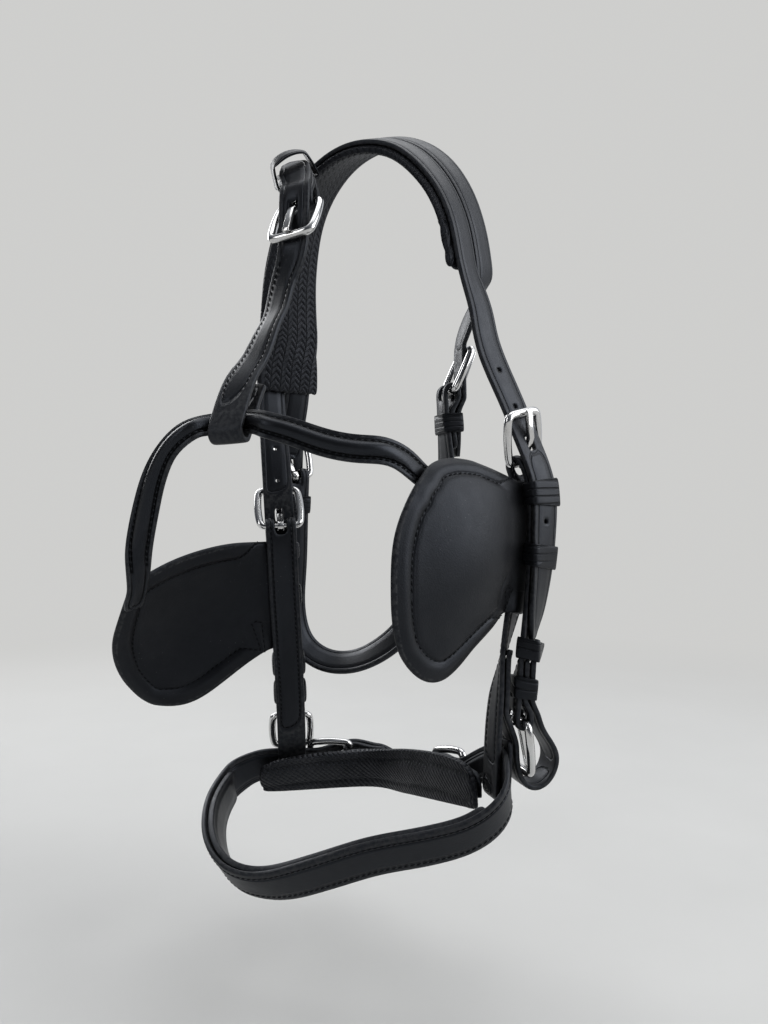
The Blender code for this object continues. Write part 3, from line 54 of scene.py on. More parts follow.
# Sizes are in millimetres, and places on the object in metres.
WINKER_SEAM = 8.4
WINKER_ROLL = 4.6
STAY_SEAM = 2.1
STRAP_SEAM = 2.3
STITCH_PITCH = 2.9
STITCH_SIZE = (0.68, 0.52, 2.35)
STITCH_SLANT = 0.16
PAD_STRIP = 6.3
PAD_STRIPS = 6
JAW_FOLD = 6.6
LONG_EDGE = 60.0
CHAMFER_AT_MOST = 2.1
FAR = 20.0
RING_SWELL = 0.19
PRONG_BEVEL = 0.28
SHEEN = (0.76, 0.84, 1.0, 1.0)
NEUTRAL = (1.0, 1.0, 1.0, 1.0)
PALE = (0.62, 0.62, 0.61, 1)
HEAD = Vector((0.0, 0.02, -0.21))
FLOOR_HEIGHT = -0.42
CAMERA_PLACE = (0.0151, -0.400, -0.1882)
PHOTO_HEIGHT = 1024
FOCAL_PIXELS = 769.4
LININGS = {"crown_pad": ((-39, 40, -119), (0.0, 0.0, 1.0)),
           "jaw_lining": ((-57, 39, -339.5), (0.99, 0.13, 0.03)),
           "noseband_lining": None}


# Finishes
class Number:
    """A number that varies over a surface. Sums written with it become Math nodes."""

    def __init__(self, finish, socket):
        self.finish = finish
        self.socket = socket

    def sum(self, operation, *terms):
        return self.finish.add("ShaderNodeMath", {"operation": operation}, dict(enumerate(terms)))

    def __add__(self, other):
        return self.sum("ADD", self, other)

    def __sub__(self, other):
        return self.sum("SUBTRACT", self, other)

    def __rsub__(self, other):
        return self.sum("SUBTRACT", other, self)

    def __mul__(self, other):
        return self.sum("MULTIPLY", self, other)

    def __truediv__(self, other):
        return self.sum("DIVIDE", self, other)

    def __pow__(self, other):
        return self.sum("POWER", self, other)

    def __mod__(self, other):
        return self.sum("FLOORED_MODULO", self, other)

    __radd__ = __add__
    __rmul__ = __mul__

    def size(self):
        return self.sum("ABSOLUTE", self)

    def least(self, other):
        return self.sum("MINIMUM", self, other)

    def most(self, other):
        return self.sum("MAXIMUM", self, other)

    def wave(self):
        return self.sum("SINE", self)

    def between(self, low, high):
        """0 up to low, 1 from high on, and a soft rise between them."""
        return self.finish.add("ShaderNodeMapRange", {"interpolation_type": "SMOOTHSTEP"},
                               {0: self, 1: low, 2: high, 3: 0.0, 4: 1.0})

    def near(self, place, width):
        """1 at a place, falling softly to 0 at that width to either side of it."""
        return 1 - (self - place).size().between(0.0, width)


class Finish:
    """A material for one of the bridle's own surfaces."""

    def __init__(self, name, **constants):
        self.material = bpy.data.materials.new(name)
        self.material.use_nodes = True
        self.tree = self.material.node_tree
        self.shader = self.tree.nodes["Principled BSDF"]
        self.shader.inputs["Specular Tint"].default_value = SHEEN
        for key, value in constants.items():
            self.shader.inputs[key.replace("_", " ")].default_value = value

    def add(self, kind, settings=None, sockets=None, out=0):
        """A node of that kind: its settings first, then the values or links of its sockets."""
        node = self.tree.nodes.new(kind)
        for key, value in (settings or {}).items():
            setattr(node, key, value)
        for key, value in (sockets or {}).items():
            self.put(node.inputs[key], value)
        return Number(self, node.outputs[out])

    def put(self, socket, value):
        if isinstance(value, Number):
            self.tree.links.new(value.socket, socket)
        else:
            socket.default_value = value

    def attribute(self, name):
        return self.add("ShaderNodeAttribute", {"attribute_name": name}, out="Fac")

    def place(self):
        return self.add("ShaderNodeTexCoord", out="Object")

    def noise(self, scale, detail=3.0, rough=0.55):
        """Soft noise from 0 to 1 whose features are about 1/scale of a metre."""
        return self.add("ShaderNodeTexNoise", None,
                        {"Vector": self.place(), "Scale": scale, "Detail": detail, "Roughness": rough})

    def cells(self, scale, feature="F1"):
        return self.add("ShaderNodeTexVoronoi", {"feature": feature},
                        {"Vector": self.place(), "Scale": scale}, out="Distance")

    def blend(self, amount, first, second):
        """A colour from the first to the second by that amount."""
        return self.add("ShaderNodeMix", {"data_type": "RGBA"},
                        {0: amount, 6: first, 7: second}, out=2)

    def finish(self, colour, rough, height=None):
        self.put(self.shader.inputs["Base Color"], colour)
        self.put(self.shader.inputs["Roughness"], rough)
        if height is not None:
            bump = self.add("ShaderNodeBump", None, {"Strength": 1.0, "Distance": MM, "Height": height})
            self.put(self.shader.inputs["Normal"], bump)
        return self.material


def grain(finish):
    """The height of bridle leather's grain in millimetres: fine pebbles, pores and soft wrinkles."""
    pebbles = finish.cells(1500.0)
    pores = 1 - finish.cells(900.0).between(0.02, 0.16)
    wrinkles = finish.noise(420.0, 4.0, 0.6)
    return pebbles * 0.028 + wrinkles * 0.05 - pores * 0.02


def leather(name, lines=((1.9, 0.7, 0.5),), dark=0.0026, gloss=0.42, crown=0.5, sheen=0.33):
    """Black bridle leather. Each line is pressed in at a distance from the edge: place, width, depth."""
    finish = Finish(name, Specular_IOR_Level=sheen)
    rim = finish.attribute("rim")
    height = grain(finish) + rim.between(1.0, 5.0) * crown
    pressed = None
    for place, width, depth in lines:
        line = rim.near(place, width)
        height = height - line * depth
        pressed = line if pressed is None else pressed.most(line)
    mottle = finish.noise(55.0, 5.0, 0.6).between(0.35, 0.7)
    colour = finish.blend(mottle, (dark, dark, dark * 1.15, 1), (dark * 2.0, dark * 2.0, dark * 2.1, 1))
    # Edges painted lighter in patches: partly wear, partly a painted highlight along the rolled edge. The
    # same mask roughens them.
    edge_wear_and_highlight = finish.noise(500.0, 3.0).between(0.38, 0.62) * rim.near(0.4, 0.8)
    colour = finish.blend(edge_wear_and_highlight * 0.6, colour, (0.05, 0.05, 0.05, 1))
    dust = (1 - finish.cells(420.0).between(0.05, 0.13)) * finish.noise(30.0, 3.0).between(0.52, 0.66)
    colour = finish.blend(dust * 0.5, colour, (0.10, 0.10, 0.10, 1))
    # Painted shade: the punched holes and a thin band round them are painted near black.
    punched = 1 - finish.attribute("hole").between(0.7, 1.2)
    colour = finish.blend(punched * 0.95, colour, (0.0005, 0.0005, 0.0005, 1))
    # Painted shade: the pressed lines are painted darker than the leather round them.
    if pressed is not None:
        colour = finish.blend(pressed * 0.75, colour, (0.0015, 0.0015, 0.0015, 1))
    rough = finish.noise(160.0, 4.0) * 0.16 + (gloss - 0.06) + edge_wear_and_highlight * 0.2
    return finish.finish(colour, rough, height)


def ribbed(name):
    """Keeper leather, creased hot into raised ribs round the loop."""
    finish = Finish(name, Specular_IOR_Level=0.25)
    band = finish.attribute("band")
    groove = ((band * 1.5 + 0.5) % 1.0 - 0.5).size().between(0.34, 0.5) * (1 - band.size().between(0.8, 0.9))
    groove = groove.most(band.near(-0.86, 0.1)).most(band.near(0.86, 0.1))
    colour = finish.blend(finish.noise(70.0, 4.0), (0.002, 0.002, 0.0023, 1), (0.007, 0.007, 0.0076, 1))
    # Painted shade: the grooves between the ribs are painted darker.
    colour = finish.blend(groove * 0.8, colour, (0.0008, 0.0008, 0.0008, 1))
    return finish.finish(colour, finish.noise(160.0, 4.0) * 0.16 + 0.36, grain(finish) - groove * 0.9)


def plait(name, strips, pitch, width):
    """A lining of flat plaited strips: chevrons along each strip and a sunk seam between strips."""
    finish = Finish(name, Specular_IOR_Level=0.24)
    along = finish.attribute("along")
    across = finish.attribute("across")
    slot = across / width + strips / 2
    inside = (slot % 1.0 - 0.5).size() * 2.0
    ribs = ((along + inside * width * 0.5 + finish.noise(260.0) * 1.6) / pitch) % 1.0
    cord = (1 - ((ribs - 0.5).size() * 2.0) ** 2.2)
    weft = (((along - across) / (pitch * 0.5)) * pi).wave().size()
    seam = inside.between(0.86, 1.0)
    height = cord * 0.42 + weft * 0.15 - seam * 0.7 + grain(finish)
    shade = finish.noise(70.0, 4.0).between(0.3, 0.75)
    colour = finish.blend(shade, (0.005, 0.005, 0.006, 1), (0.014, 0.014, 0.016, 1))
    # Painted shade: the hollows between the cords and the sunk seams are painted near black.
    colour = finish.blend(((1 - cord) * 0.6).most(seam * 0.95), colour, (0.001, 0.001, 0.001, 1))
    return finish.finish(colour, finish.noise(300.0) * 0.2 + 0.36, height)


def twill(name, pitch):
    """A woven lining rolled round its strap: fine diagonal cords and a groove along each side."""
    finish = Finish(name, Specular_IOR_Level=0.24)
    along = finish.attribute("along")
    across = finish.attribute("across")
    first = (((along + across) / pitch) % 1.0 - 0.5).size() * 2.0
    second = (((along - across) / (pitch * 1.3)) % 1.0 - 0.5).size() * 2.0
    cord = 1 - first ** 2.0
    over = 1 - second ** 3.0
    height = cord * 0.6 + over * 0.25 + finish.noise(800.0) * 0.08
    shade = finish.noise(60.0, 4.0).between(0.3, 0.75)
    colour = finish.blend(shade, (0.010, 0.010, 0.011, 1), (0.030, 0.030, 0.033, 1))
    # Painted shade: the hollows between the diagonal cords are painted near black.
    colour = finish.blend(first * 0.7, colour, (0.001, 0.001, 0.001, 1))
    return finish.finish(colour, finish.noise(300.0) * 0.2 + 0.38, height)


def steel(name, rough=0.16):
    """Polished stainless steel with faint wheel marks and finger haze."""
    finish = Finish(name, Metallic=1.0, Specular_Tint=NEUTRAL)
    marks = finish.noise(2600.0, 2.0)
    haze = finish.noise(120.0, 4.0).between(0.35, 0.8)
    colour = finish.blend(haze, (0.66, 0.66, 0.66, 1), (0.56, 0.555, 0.55, 1))
    return finish.finish(colour, haze * 0.10 + marks * 0.05 + (rough - 0.06), marks * 0.006)


def thread(name):
    """Waxed black thread, laid up from three strands."""
    finish = Finish(name, Specular_IOR_Level=0.12)
    lay = finish.noise(3200.0, 2.0)
    colour = finish.blend(lay.between(0.3, 0.7), (0.0005, 0.0005, 0.0005, 1), (0.003, 0.003, 0.003, 1))
    return finish.finish(colour, lay * 0.2 + 0.5, lay * 0.05)


# Working a CAD node's shape up into a finished piece
def only(piece):
    bpy.ops.object.select_all(action="DESELECT")
    piece.select_set(True)
    bpy.context.view_layer.objects.active = piece


def loose_copy(node, name):
    """A copy of a CAD node with its doubles merged and its triangles joined into quads."""
    piece = bpy.data.objects.new(name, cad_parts[node].data.copy())
    bpy.context.scene.collection.objects.link(piece)
    only(piece)
    bpy.ops.object.mode_set(mode="EDIT")
    bpy.ops.mesh.select_all(action="SELECT")
    bpy.ops.mesh.remove_doubles(threshold=1e-6)
    bpy.ops.mesh.tris_convert_to_quads(face_threshold=0.35, shape_threshold=1.2)
    bpy.ops.object.mode_set(mode="OBJECT")
    piece.data.materials.clear()
    return piece


def put_attribute(piece, name, values):
    layer = piece.data.attributes.new(name, "FLOAT", "POINT")
    layer.data.foreach_set("value", np.asarray(values, dtype=np.float32))


def edge_groups(bm, angle, chamfered):
    """The sharp edges in connected groups. On a strap only those beside its narrow chamfers count."""
    sharp = {e for e in bm.edges if e.is_manifold and e.calc_face_angle() > angle}
    if chamfered:
        sharp = {e for e in sharp
                 if min(o.calc_length() for f in e.link_faces for o in f.edges) < CHAMFER_AT_MOST * MM}
    groups = []
    while sharp:
        todo = [sharp.pop()]
        group = []
        while todo:
            edge = todo.pop()
            group.append(edge)
            for vert in edge.verts:
                for other in vert.link_edges:
                    if other in sharp:
                        sharp.discard(other)
                        todo.append(other)
        groups.append(group)
    return groups


def ease_rim(piece, other, first=2.0, last=20.0):
    """Lets a winker's seam and roll run out where it is sewn into its cheek strap."""
    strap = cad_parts[other].data
    spots = []
    for edge in strap.edges:
        a, b = (strap.vertices[i].co for i in edge.vertices)
        steps = max(int((b - a).length / MM), 1)
        spots += [a.lerp(b, i / steps) for i in range(steps)]
    tree = KDTree(len(spots))
    for i, spot in enumerate(spots):
        tree.insert(spot, i)
    tree.balance()
    away = np.array([tree.find(point)[2] / MM for point in points_of(piece)])
    close = 1 - np.clip((away - first) / (last - first), 0, 1)
    close = close ** 2 * (3 - 2 * close)
    piece.data.attributes["rim"].data.foreach_set("value", read(piece, "rim") + 9.0 * close)
    return 1 - close


def is_long(group):
    """Whether a group of edges is a border, and not the rim of a punched hole."""
    return sum(edge.calc_length() for edge in group) > LONG_EDGE * MM


def fit_holes(piece, unused=0.36, in_use=1.12):
    """Draws in the punched holes that no prong goes through, and opens those that one does."""
    bm = bmesh.new()
    bm.from_mesh(piece.data)
    for group in edge_groups(bm, 0.69, True):
        verts = {v for edge in group for v in edge.verts}
        middle = sum((v.co for v in verts), Vector()) / len(verts)
        if is_long(group) or len(verts) < 10:
            continue
        ratio = in_use if prongs.find(middle)[2] < 4.5 * MM else unused
        wall = max(group, key=lambda edge: edge.calc_length())
        axis = (wall.verts[0].co - wall.verts[1].co).normalized()
        for v in verts:
            out = v.co - middle
            depth = axis * out.dot(axis)
            v.co = middle + depth + (out - depth) * ratio
    bm.to_mesh(piece.data)
    bm.free()


def mark_edges(piece, angle=0.69, chamfered=True):
    """Writes how far each point lies from the long edges and from the punched holes, in millimetres."""
    bm = bmesh.new()
    bm.from_mesh(piece.data)
    groups = edge_groups(bm, angle, chamfered)
    for name, keep in (("rim", True), ("hole", False)):
        spots = []
        for group in groups:
            if is_long(group) == keep:
                for edge in group:
                    a, b = (v.co for v in edge.verts)
                    steps = max(int(edge.calc_length() / MM), 1)
                    spots += [a.lerp(b, i / steps) for i in range(steps + 1)]
        tree = KDTree(max(len(spots), 1))
        for i, spot in enumerate(spots):
            tree.insert(spot, i)
        tree.balance()
        away = [tree.find(v.co)[2] / MM if spots else FAR for v in bm.verts]
        put_attribute(piece, name, np.minimum(away, FAR))
    bm.free()


def measure_rim(piece):
    """Measures the distance from the edge again on the smoothed shape."""
    rim = read(piece, "rim")
    points = points_of(piece)
    spots = []
    for edge in piece.data.edges:
        a, b = edge.vertices
        if rim[a] < 0.05 and rim[b] < 0.05:
            steps = max(int(np.linalg.norm(points[a] - points[b]) / (0.5 * MM)), 1)
            spots += [points[a] + (points[b] - points[a]) * i / steps for i in range(steps + 1)]
    tree = KDTree(len(spots))
    for i, spot in enumerate(spots):
        tree.insert(spot, i)
    tree.balance()
    layer = piece.data.attributes["rim"]
    layer.data.foreach_set("value", [tree.find(point)[2] / MM for point in points])


def smooth(piece, levels):
    """A subdivision surface, applied."""
    only(piece)
    soft = piece.modifiers.new("soft", "SUBSURF")
    soft.levels = levels
    soft.render_levels = levels
    bpy.ops.object.modifier_apply(modifier="soft")
    bpy.ops.object.shade_smooth()


def swell(piece, amount):
    """Moves every point out along its normal."""
    only(piece)
    bpy.ops.object.mode_set(mode="EDIT")
    bpy.ops.mesh.select_all(action="SELECT")
    bpy.ops.transform.shrink_fatten(value=amount)
    bpy.ops.object.mode_set(mode="OBJECT")


def read(piece, name):
    values = np.zeros(len(piece.data.vertices), dtype=np.float32)
    piece.data.attributes[name].data.foreach_get("value", values)
    return values


def points_of(piece):
    values = np.zeros(len(piece.data.vertices) * 3, dtype=np.float32)
    piece.data.vertices.foreach_get("co", values)
    return values.reshape(-1, 3)


def normals_of(piece):
    values = np.zeros(len(piece.data.vertices) * 3, dtype=np.float32)
    piece.data.vertex_normals.foreach_get("vector", values)
    return values.reshape(-1, 3)


def loop_axis(piece):
    """The direction that a leather loop's hole runs in: its faces look that way the least."""
    spread = np.zeros((3, 3))
    for face in piece.data.polygons:
        spread += face.area * np.outer(face.normal, face.normal)
    return np.linalg.eigh(spread)[1][:, 0]


def round_loop(piece):
    """Rounds the outer half of the standing loop above the forehead buckle."""
    points = points_of(piece)
    axis = loop_axis(piece)
    flat = np.linalg.svd(axis[None])[2][1:]
    best = None
    for degree in range(90):
        turn = radians(degree)
        frame_axes = np.array([[cos(turn), sin(turn)], [-sin(turn), cos(turn)]]) @ flat
        spots = points @ frame_axes.T
        size = np.prod(spots.max(0) - spots.min(0))
        if best is None or size < best[0]:
            best = (size, frame_axes)
    up = points.mean(0) - np.array(HEAD)
    wide, tall = sorted(best[1], key=lambda way: abs(way @ up))
    tall = tall * np.sign(tall @ up)
    x, y = points @ wide, points @ tall
    x, y = x - (x.max() + x.min()) / 2, y - (y.max() + y.min()) / 2
    a, b = x.max(), y.max()
    turn = np.arctan2(y / b, x / a)
    part = np.maximum(np.abs(x) / a, np.abs(y) / b)
    share = np.clip(y / b * 1.6, 0, 1) * 0.9
    shift = np.outer((a * part * np.cos(turn) - x) * share, wide)
    shift += np.outer((b * 1.15 * part * np.sin(turn) - y) * share, tall)
    move_points(piece, points + shift)


def mark_band(piece):
    """Writes each point's place across a loop's band, from -1 to 1."""
    band = points_of(piece) @ loop_axis(piece)
    low, high = np.percentile(band, (4, 96))
    put_attribute(piece, "band", (band - (low + high) / 2) / ((high - low) / 2))


def move_points(piece, points):
    piece.data.vertices.foreach_set("co", np.asarray(points, dtype=np.float32).ravel())
    piece.data.update()


def walk_along(piece, start, heading, step=2.0, reach=16.0):
    """Walks down the middle of a strip and writes each point's place along and across it."""
    points = points_of(piece) / MM
    centre = np.array(start, float)
    ahead = np.array(heading, float)
    stops = []
    for _ in range(200):
        offset = points - centre
        slab = (np.abs(offset @ ahead) < 2.5) & (np.linalg.norm(offset, axis=1) < reach)
        if slab.sum() < 8:
            break
        near = points[slab]
        spread = np.linalg.svd(near - near.mean(0), full_matrices=False)[2][0]
        spread -= ahead * (spread @ ahead)
        spread /= np.linalg.norm(spread)
        side = spread
        if stops:
            side = stops[-1][2] * 0.7 + spread * 0.3 * np.sign(spread @ stops[-1][2])
            side /= np.linalg.norm(side)
        through = np.cross(ahead, side)
        middle = centre
        for way in (side, through):
            ends = (near - centre) @ way
            middle = middle + way * (ends.max() + ends.min()) / 2
        if stops:
            moved = middle - stops[-1][0]
            if moved @ ahead < step * 0.4:
                break
            ahead = ahead * 0.6 + moved / np.linalg.norm(moved) * 0.4
            ahead /= np.linalg.norm(ahead)
        stops.append((middle, ahead, side))
        centre = middle + ahead * step
    course = np.array(stops)
    for _ in range(3):
        course[1:-1] = course[1:-1] * 0.5 + (course[:-2] + course[2:]) * 0.25
    gone = np.concatenate([[0.0], np.cumsum(np.linalg.norm(np.diff(course[:, 0], axis=0), axis=1))])
    tree = KDTree(len(course))
    for i, (middle, _, _) in enumerate(course):
        tree.insert(middle, i)
    tree.balance()
    along, across = [], []
    for point in points:
        _, i, _ = tree.find(point)
        middle, ahead, side = course[i]
        along.append(gone[i] + (point - middle) @ ahead)
        across.append((point - middle) @ side)
    put_attribute(piece, "along", along)
    put_attribute(piece, "across", across)
    return np.array(along), np.array(across)


def seam_rows(piece, place, wanted):
    """Rows of (point, normal) where the piece lies that far from its edge."""
    mesh = piece.data
    rim = read(piece, "rim")
    points = points_of(piece)
    ends = np.zeros(len(mesh.edges) * 2, dtype=np.int32)
    mesh.edges.foreach_get("vertices", ends)
    ends = ends.reshape(-1, 2)
    first, second = rim[ends[:, 0]], rim[ends[:, 1]]
    crossed = (first < place) != (second < place)
    share = np.where(crossed, (place - first) / np.where(crossed, second - first, 1.0), 0.0)[:, None]
    spots = points[ends[:, 0]] * (1 - share) + points[ends[:, 1]] * share
    links = {}
    for face in mesh.polygons:
        hits = [mesh.loops[i].edge_index for i in face.loop_indices if crossed[mesh.loops[i].edge_index]]
        if len(hits) == 2 and wanted(face.center, face.normal):
            links.setdefault(hits[0], []).append((hits[1], face.normal.copy()))
            links.setdefault(hits[1], []).append((hits[0], face.normal.copy()))
    rows = []
    left = set(links)
    while left:
        start = next((i for i in sorted(left) if len(links[i]) == 1), min(left))
        row = []
        at = start
        while at is not None:
            left.discard(at)
            row.append((Vector(spots[at]), links[at][0][1]))
            at = next((other for other, _ in links[at] if other in left), None)
        if len(row) > 3:
            rows.append(row)
    return rows


def away_from_head(spot, normal):
    return normal.dot(spot - HEAD) > 0


def sew(name, rows, pitch=STITCH_PITCH):
    """Saddle stitches along rows, one modelled stitch copied into one piece."""
    bpy.ops.object.select_all(action="DESELECT")
    bpy.ops.mesh.primitive_uv_sphere_add(segments=6, ring_count=5, radius=0.5)
    model = bpy.context.active_object
    bpy.ops.object.mode_set(mode="EDIT")
    bpy.ops.mesh.select_all(action="SELECT")
    bpy.ops.transform.resize(value=[size * MM for size in STITCH_SIZE])
    bpy.ops.object.mode_set(mode="OBJECT")
    shape = points_of(model)
    faces = [tuple(face.vertices) for face in model.data.polygons]
    bpy.data.objects.remove(model)
    verts, polygons = [], []
    for row in rows:
        walked = 0.0
        due = pitch / 2
        for (a, out), (b, _) in zip(row, row[1:]):
            length = (b - a).length / MM
            while length > 1e-6 and walked + length >= due:
                spot = a.lerp(b, (due - walked) / length)
                ahead = (b - a).normalized()
                side = out.cross(ahead).normalized()
                ahead = (ahead + side * STITCH_SLANT).normalized()
                side = out.cross(ahead).normalized()
                turn = np.array([side, ahead.cross(side), ahead])
                base = sum(len(v) for v in verts)
                verts.append(shape @ turn + np.array(spot))
                polygons += [tuple(base + i for i in face) for face in faces]
                due += pitch
            walked += length
    mesh = bpy.data.meshes.new(name)
    mesh.from_pydata(np.concatenate(verts).tolist(), [], polygons)
    piece = bpy.data.objects.new(name, mesh)
    bpy.context.scene.collection.objects.link(piece)
    only(piece)
    bpy.ops.object.mode_set(mode="EDIT")
    bpy.ops.mesh.select_all(action="SELECT")
    bpy.ops.mesh.normals_make_consistent(inside=False)
    bpy.ops.object.mode_set(mode="OBJECT")
    bpy.ops.object.shade_smooth()
    mesh.materials.append(black_thread)
    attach(piece, "leather")
    return piece


def place_piece(piece, node, body, material):
    piece.data.materials.clear()
    piece.data.materials.append(material)
    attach(piece, body)
    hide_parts(node)


# Leather straps, loops and winkers
strap_leather = leather("black bridle leather")
plain_leather = leather("black leather without lines", lines=())
stay_leather = leather("raised stay leather", lines=((STAY_SEAM, 1.1, 0.7),), gloss=0.36, crown=0.1)
noseband_leather = leather("rolled noseband leather",
                           lines=((1.7, 0.7, 0.6), (STRAP_SEAM + 0.9, 0.8, 0.4)), crown=1.4)
keeper_leather = ribbed("ribbed keeper leather")
winker_leather = leather("stretched winker leather",
                         lines=((WINKER_SEAM, 1.2, 0.3),), gloss=0.44, crown=0.0, sheen=0.26)
pieces = {}
prong_points = [v.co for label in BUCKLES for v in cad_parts[label + "_tongue"].data.vertices]
prongs = KDTree(len(prong_points))
for i, point in enumerate(prong_points):
    prongs.insert(point, i)
prongs.balance()
for node in BILLETS + SEWN + CHAPES + KEEPERS:
    piece = loose_copy(node, node + "_leather")
    if node in KEEPERS:
        if node == "forehead_keeper":
            round_loop(piece)
        mark_edges(piece, 1.2, False)
        mark_band(piece)
    else:
        if node in BILLETS:
            fit_holes(piece)
        mark_edges(piece)
    smooth(piece, 2)
    finish = {"winker_stay": stay_leather, "noseband": noseband_leather}.get(node, strap_leather)
    if node in KEEPERS:
        finish = keeper_leather
    place_piece(piece, node, "leather", finish)
    pieces[node] = piece
for node in WINKERS:
    piece = loose_copy(node, node + "_leather")
    mark_edges(piece, chamfered=False)
    smooth(piece, 3)
    measure_rim(piece)
    rim = read(piece, "rim")
    roll = 0.7 * np.exp(-((rim - WINKER_ROLL) / 2.4) ** 2)
    roll = roll - 0.75 * np.exp(-((rim - WINKER_SEAM) / 1.1) ** 2)
    roll = roll * ease_rim(piece, node.replace("winker", "cheek_strap")) ** 2
    move_points(piece, points_of(piece) + normals_of(piece) * roll[:, None] * MM)
    place_piece(piece, node, "leather", winker_leather)
    pieces[node] = piece

# Linings
pad_lining = plait("plaited pad lining", PAD_STRIPS, 3.5, PAD_STRIP)
jaw_lining = twill("woven jaw lining", 2.9)
for node, walk in LININGS.items():
    piece = loose_copy(node, node + "_padding")
    mark_edges(piece, chamfered=False)
    smooth(piece, 3)
    if walk:
        along, across = walk_along(piece, *walk)
        if node == "jaw_lining":
            fold = 0.5 * (1 - (across / 6.0) ** 2).clip(0)
            fold = fold - 0.8 * np.exp(-((np.abs(across) - JAW_FOLD) / 0.9) ** 2)
        else:
            fold = 0.9 * np.abs(np.cos(across / PAD_STRIP * pi)) ** 0.7 - 0.5
        move_points(piece, points_of(piece) + normals_of(piece) * fold[:, None] * MM)
    finish = {"crown_pad": pad_lining, "jaw_lining": jaw_lining}.get(node, plain_leather)
    place_piece(piece, node, "leather", finish)
    pieces[node] = piece

# Stitching
black_thread = thread("waxed black thread")
sew("stay_stitching", seam_rows(pieces["winker_stay"], STAY_SEAM, away_from_head))
sew("forehead_stitching", seam_rows(pieces["forehead_strap"], STRAP_SEAM,
                                    lambda spot, out: away_from_head(spot, out) and -0.138 < spot.z < -0.072))
sew("noseband_stitching", seam_rows(pieces["noseband"], STRAP_SEAM,
                                    lambda spot, out: away_from_head(spot, out) and spot.y < 0.02))
for side in SIDES:
    winker = pieces[side + "_winker"]
    sew(side + "_winker_stitching", seam_rows(winker, WINKER_SEAM, lambda spot, out: True))
    sew(side + "_cheek_stitching", seam_rows(pieces[side + "_cheek_strap"], STRAP_SEAM,
                                             lambda spot, out: abs(out.z) < 0.5))

# Buckles
frame_steel = steel("polished buckle steel")
for label in BUCKLES:
    ring = loose_copy(label + "_buckle", label + "_buckle_ring")
    swell(ring, RING_SWELL * MM)
    smooth(ring, 2)
    place_piece(ring, label + "_buckle", label + "_frame", frame_steel)
    prong = loose_copy(label + "_tongue", label + "_tongue_prong")
    only(prong)
    round_off = prong.modifiers.new("round_off", "BEVEL")
    round_off.width = PRONG_BEVEL * MM
    round_off.segments = 3
    round_off.limit_method = "ANGLE"
    round_off.angle_limit = radians(35)
    bpy.ops.object.modifier_apply(modifier="round_off")
    bpy.ops.object.shade_smooth_by_angle(angle=radians(45))
    place_piece(prong, label + "_tongue", label + "_prong", frame_steel)

# Floor, light and camera
floor_finish = Finish("pale floor", Specular_IOR_Level=0.2, Specular_Tint=NEUTRAL)
speckle = floor_finish.noise(9.0, 6.0)
floor_colour = floor_finish.blend(speckle, (0.50, 0.50, 0.49, 1), (0.55, 0.55, 0.54, 1))
floor_finish.finish(floor_colour, speckle * 0.1 + 0.75)
radius = floor_finish.add("ShaderNodeVectorMath", {"operation": "LENGTH"},
                          {0: floor_finish.place()}, out="Value")
glow = floor_finish.add("ShaderNodeEmission", None, {"Color": PALE})
fade = floor_finish.add("ShaderNodeMixShader", None, {0: radius.between(0.35, 1.15)})
fade_node = fade.socket.node
floor_finish.tree.links.new(floor_finish.shader.outputs[0], fade_node.inputs[1])
floor_finish.tree.links.new(glow.socket, fade_node.inputs[2])
floor_finish.tree.links.new(fade.socket, floor_finish.tree.nodes["Material Output"].inputs[0])
bpy.ops.object.select_all(action="DESELECT")
bpy.ops.mesh.primitive_circle_add(vertices=96, radius=6.0, fill_type="NGON", location=(0, 0, FLOOR_HEIGHT))
floor = bpy.context.active_object
floor.name = "floor"
floor.data.materials.append(floor_finish.material)

world = bpy.data.worlds.new("studio")
bpy.context.scene.world = world
world.use_nodes = True
room = world.node_tree


def world_node(kind, settings, sockets):
    """A node of the world: its settings, and the values or sockets that feed it."""
    node = room.nodes.new(kind)
    for key, value in settings.items():
        setattr(node, key, value)
    for key, value in sockets.items():
        if isinstance(value, bpy.types.NodeSocket):
            room.links.new(value, node.inputs[key])
        else:
            node.inputs[key].default_value = value
    return node


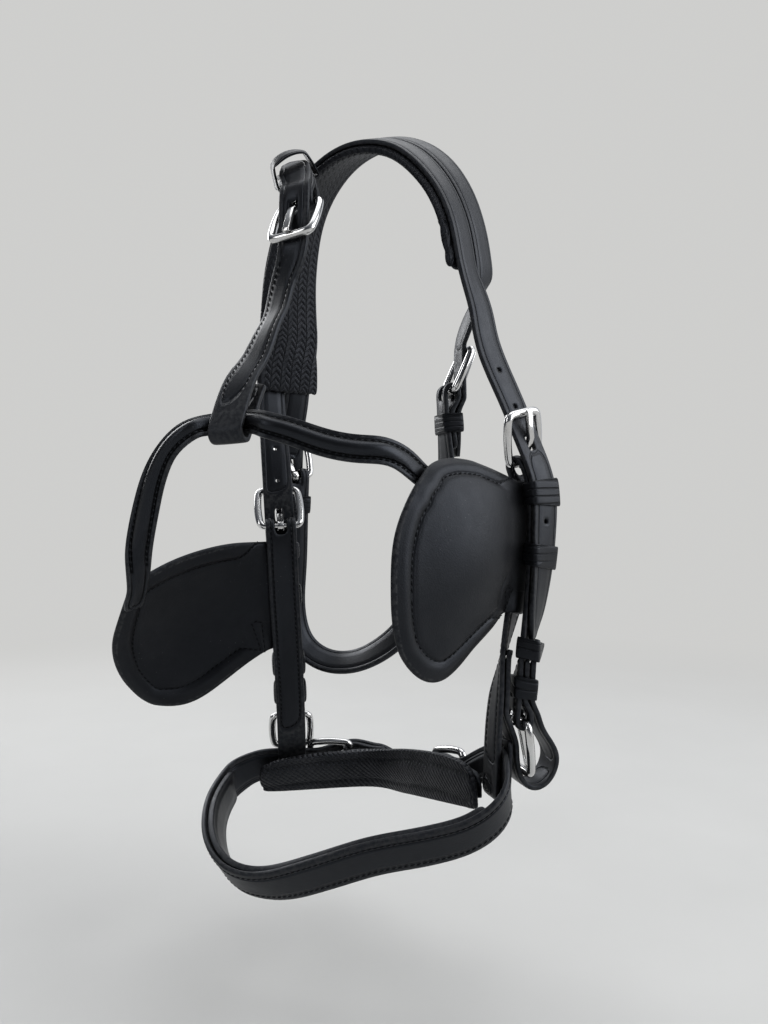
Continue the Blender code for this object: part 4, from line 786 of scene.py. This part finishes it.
heading = world_node("ShaderNodeTexCoord", {}, {}).outputs["Generated"]
towards = world_node("ShaderNodeVectorMath", {"operation": "DOT_PRODUCT"},
                     {0: heading, 1: (0.66, 0.58, 0.48)}).outputs["Value"]
open_side = world_node("ShaderNodeMapRange", {"interpolation_type": "SMOOTHSTEP"},
                       {0: towards, 1: -0.5, 2: 0.95, 3: 0.0, 4: 1.0}).outputs[0]
soft = world_node("ShaderNodeMix", {"data_type": "RGBA"},
                  {0: open_side, 6: (0.06, 0.065, 0.075, 1), 7: (0.58, 0.60, 0.63, 1)}).outputs[2]
seen = world_node("ShaderNodeLightPath", {}, {}).outputs["Is Camera Ray"]
backdrop = world_node("ShaderNodeMix", {"data_type": "RGBA"},
                      {0: seen, 6: soft, 7: PALE}).outputs[2]
room.links.new(backdrop, room.nodes["Background"].inputs["Color"])


def lamp(name, place, aim, size, watts):
    light = bpy.data.lights.new(name, "AREA")
    light.shape = "RECTANGLE"
    light.size, light.size_y = size
    light.energy = watts
    holder = bpy.data.objects.new(name, light)
    bpy.context.scene.collection.objects.link(holder)
    holder.location = place
    holder.rotation_euler = (Vector(aim) - Vector(place)).to_track_quat("-Z", "Y").to_euler()


lamp("window", (1.35, -0.35, 0.45), (0, 0, -0.2), (1.3, 1.3), 20.0)
lamp("overhead", (0.1, 0.3, 1.1), (0, 0, -0.2), (1.2, 1.2), 8.0)
lamp("back_fill", (-0.9, 1.0, 0.5), (0, 0, -0.2), (0.9, 0.9), 12.0)
lamp("far_side", (-1.0, -0.8, 0.4), (0, 0, -0.2), (0.3, 0.9), 3.0)

view = bpy.data.cameras.new("camera")
view.sensor_width = 36
view.lens = FOCAL_PIXELS / PHOTO_HEIGHT * view.sensor_width
view.clip_start = 0.01
camera = bpy.data.objects.new("camera", view)
bpy.context.scene.collection.objects.link(camera)
camera.location = CAMERA_PLACE
camera.rotation_euler = (radians(90), 0, 0)
bpy.context.scene.camera = camera
bpy.context.scene.view_settings.view_transform = "Standard"
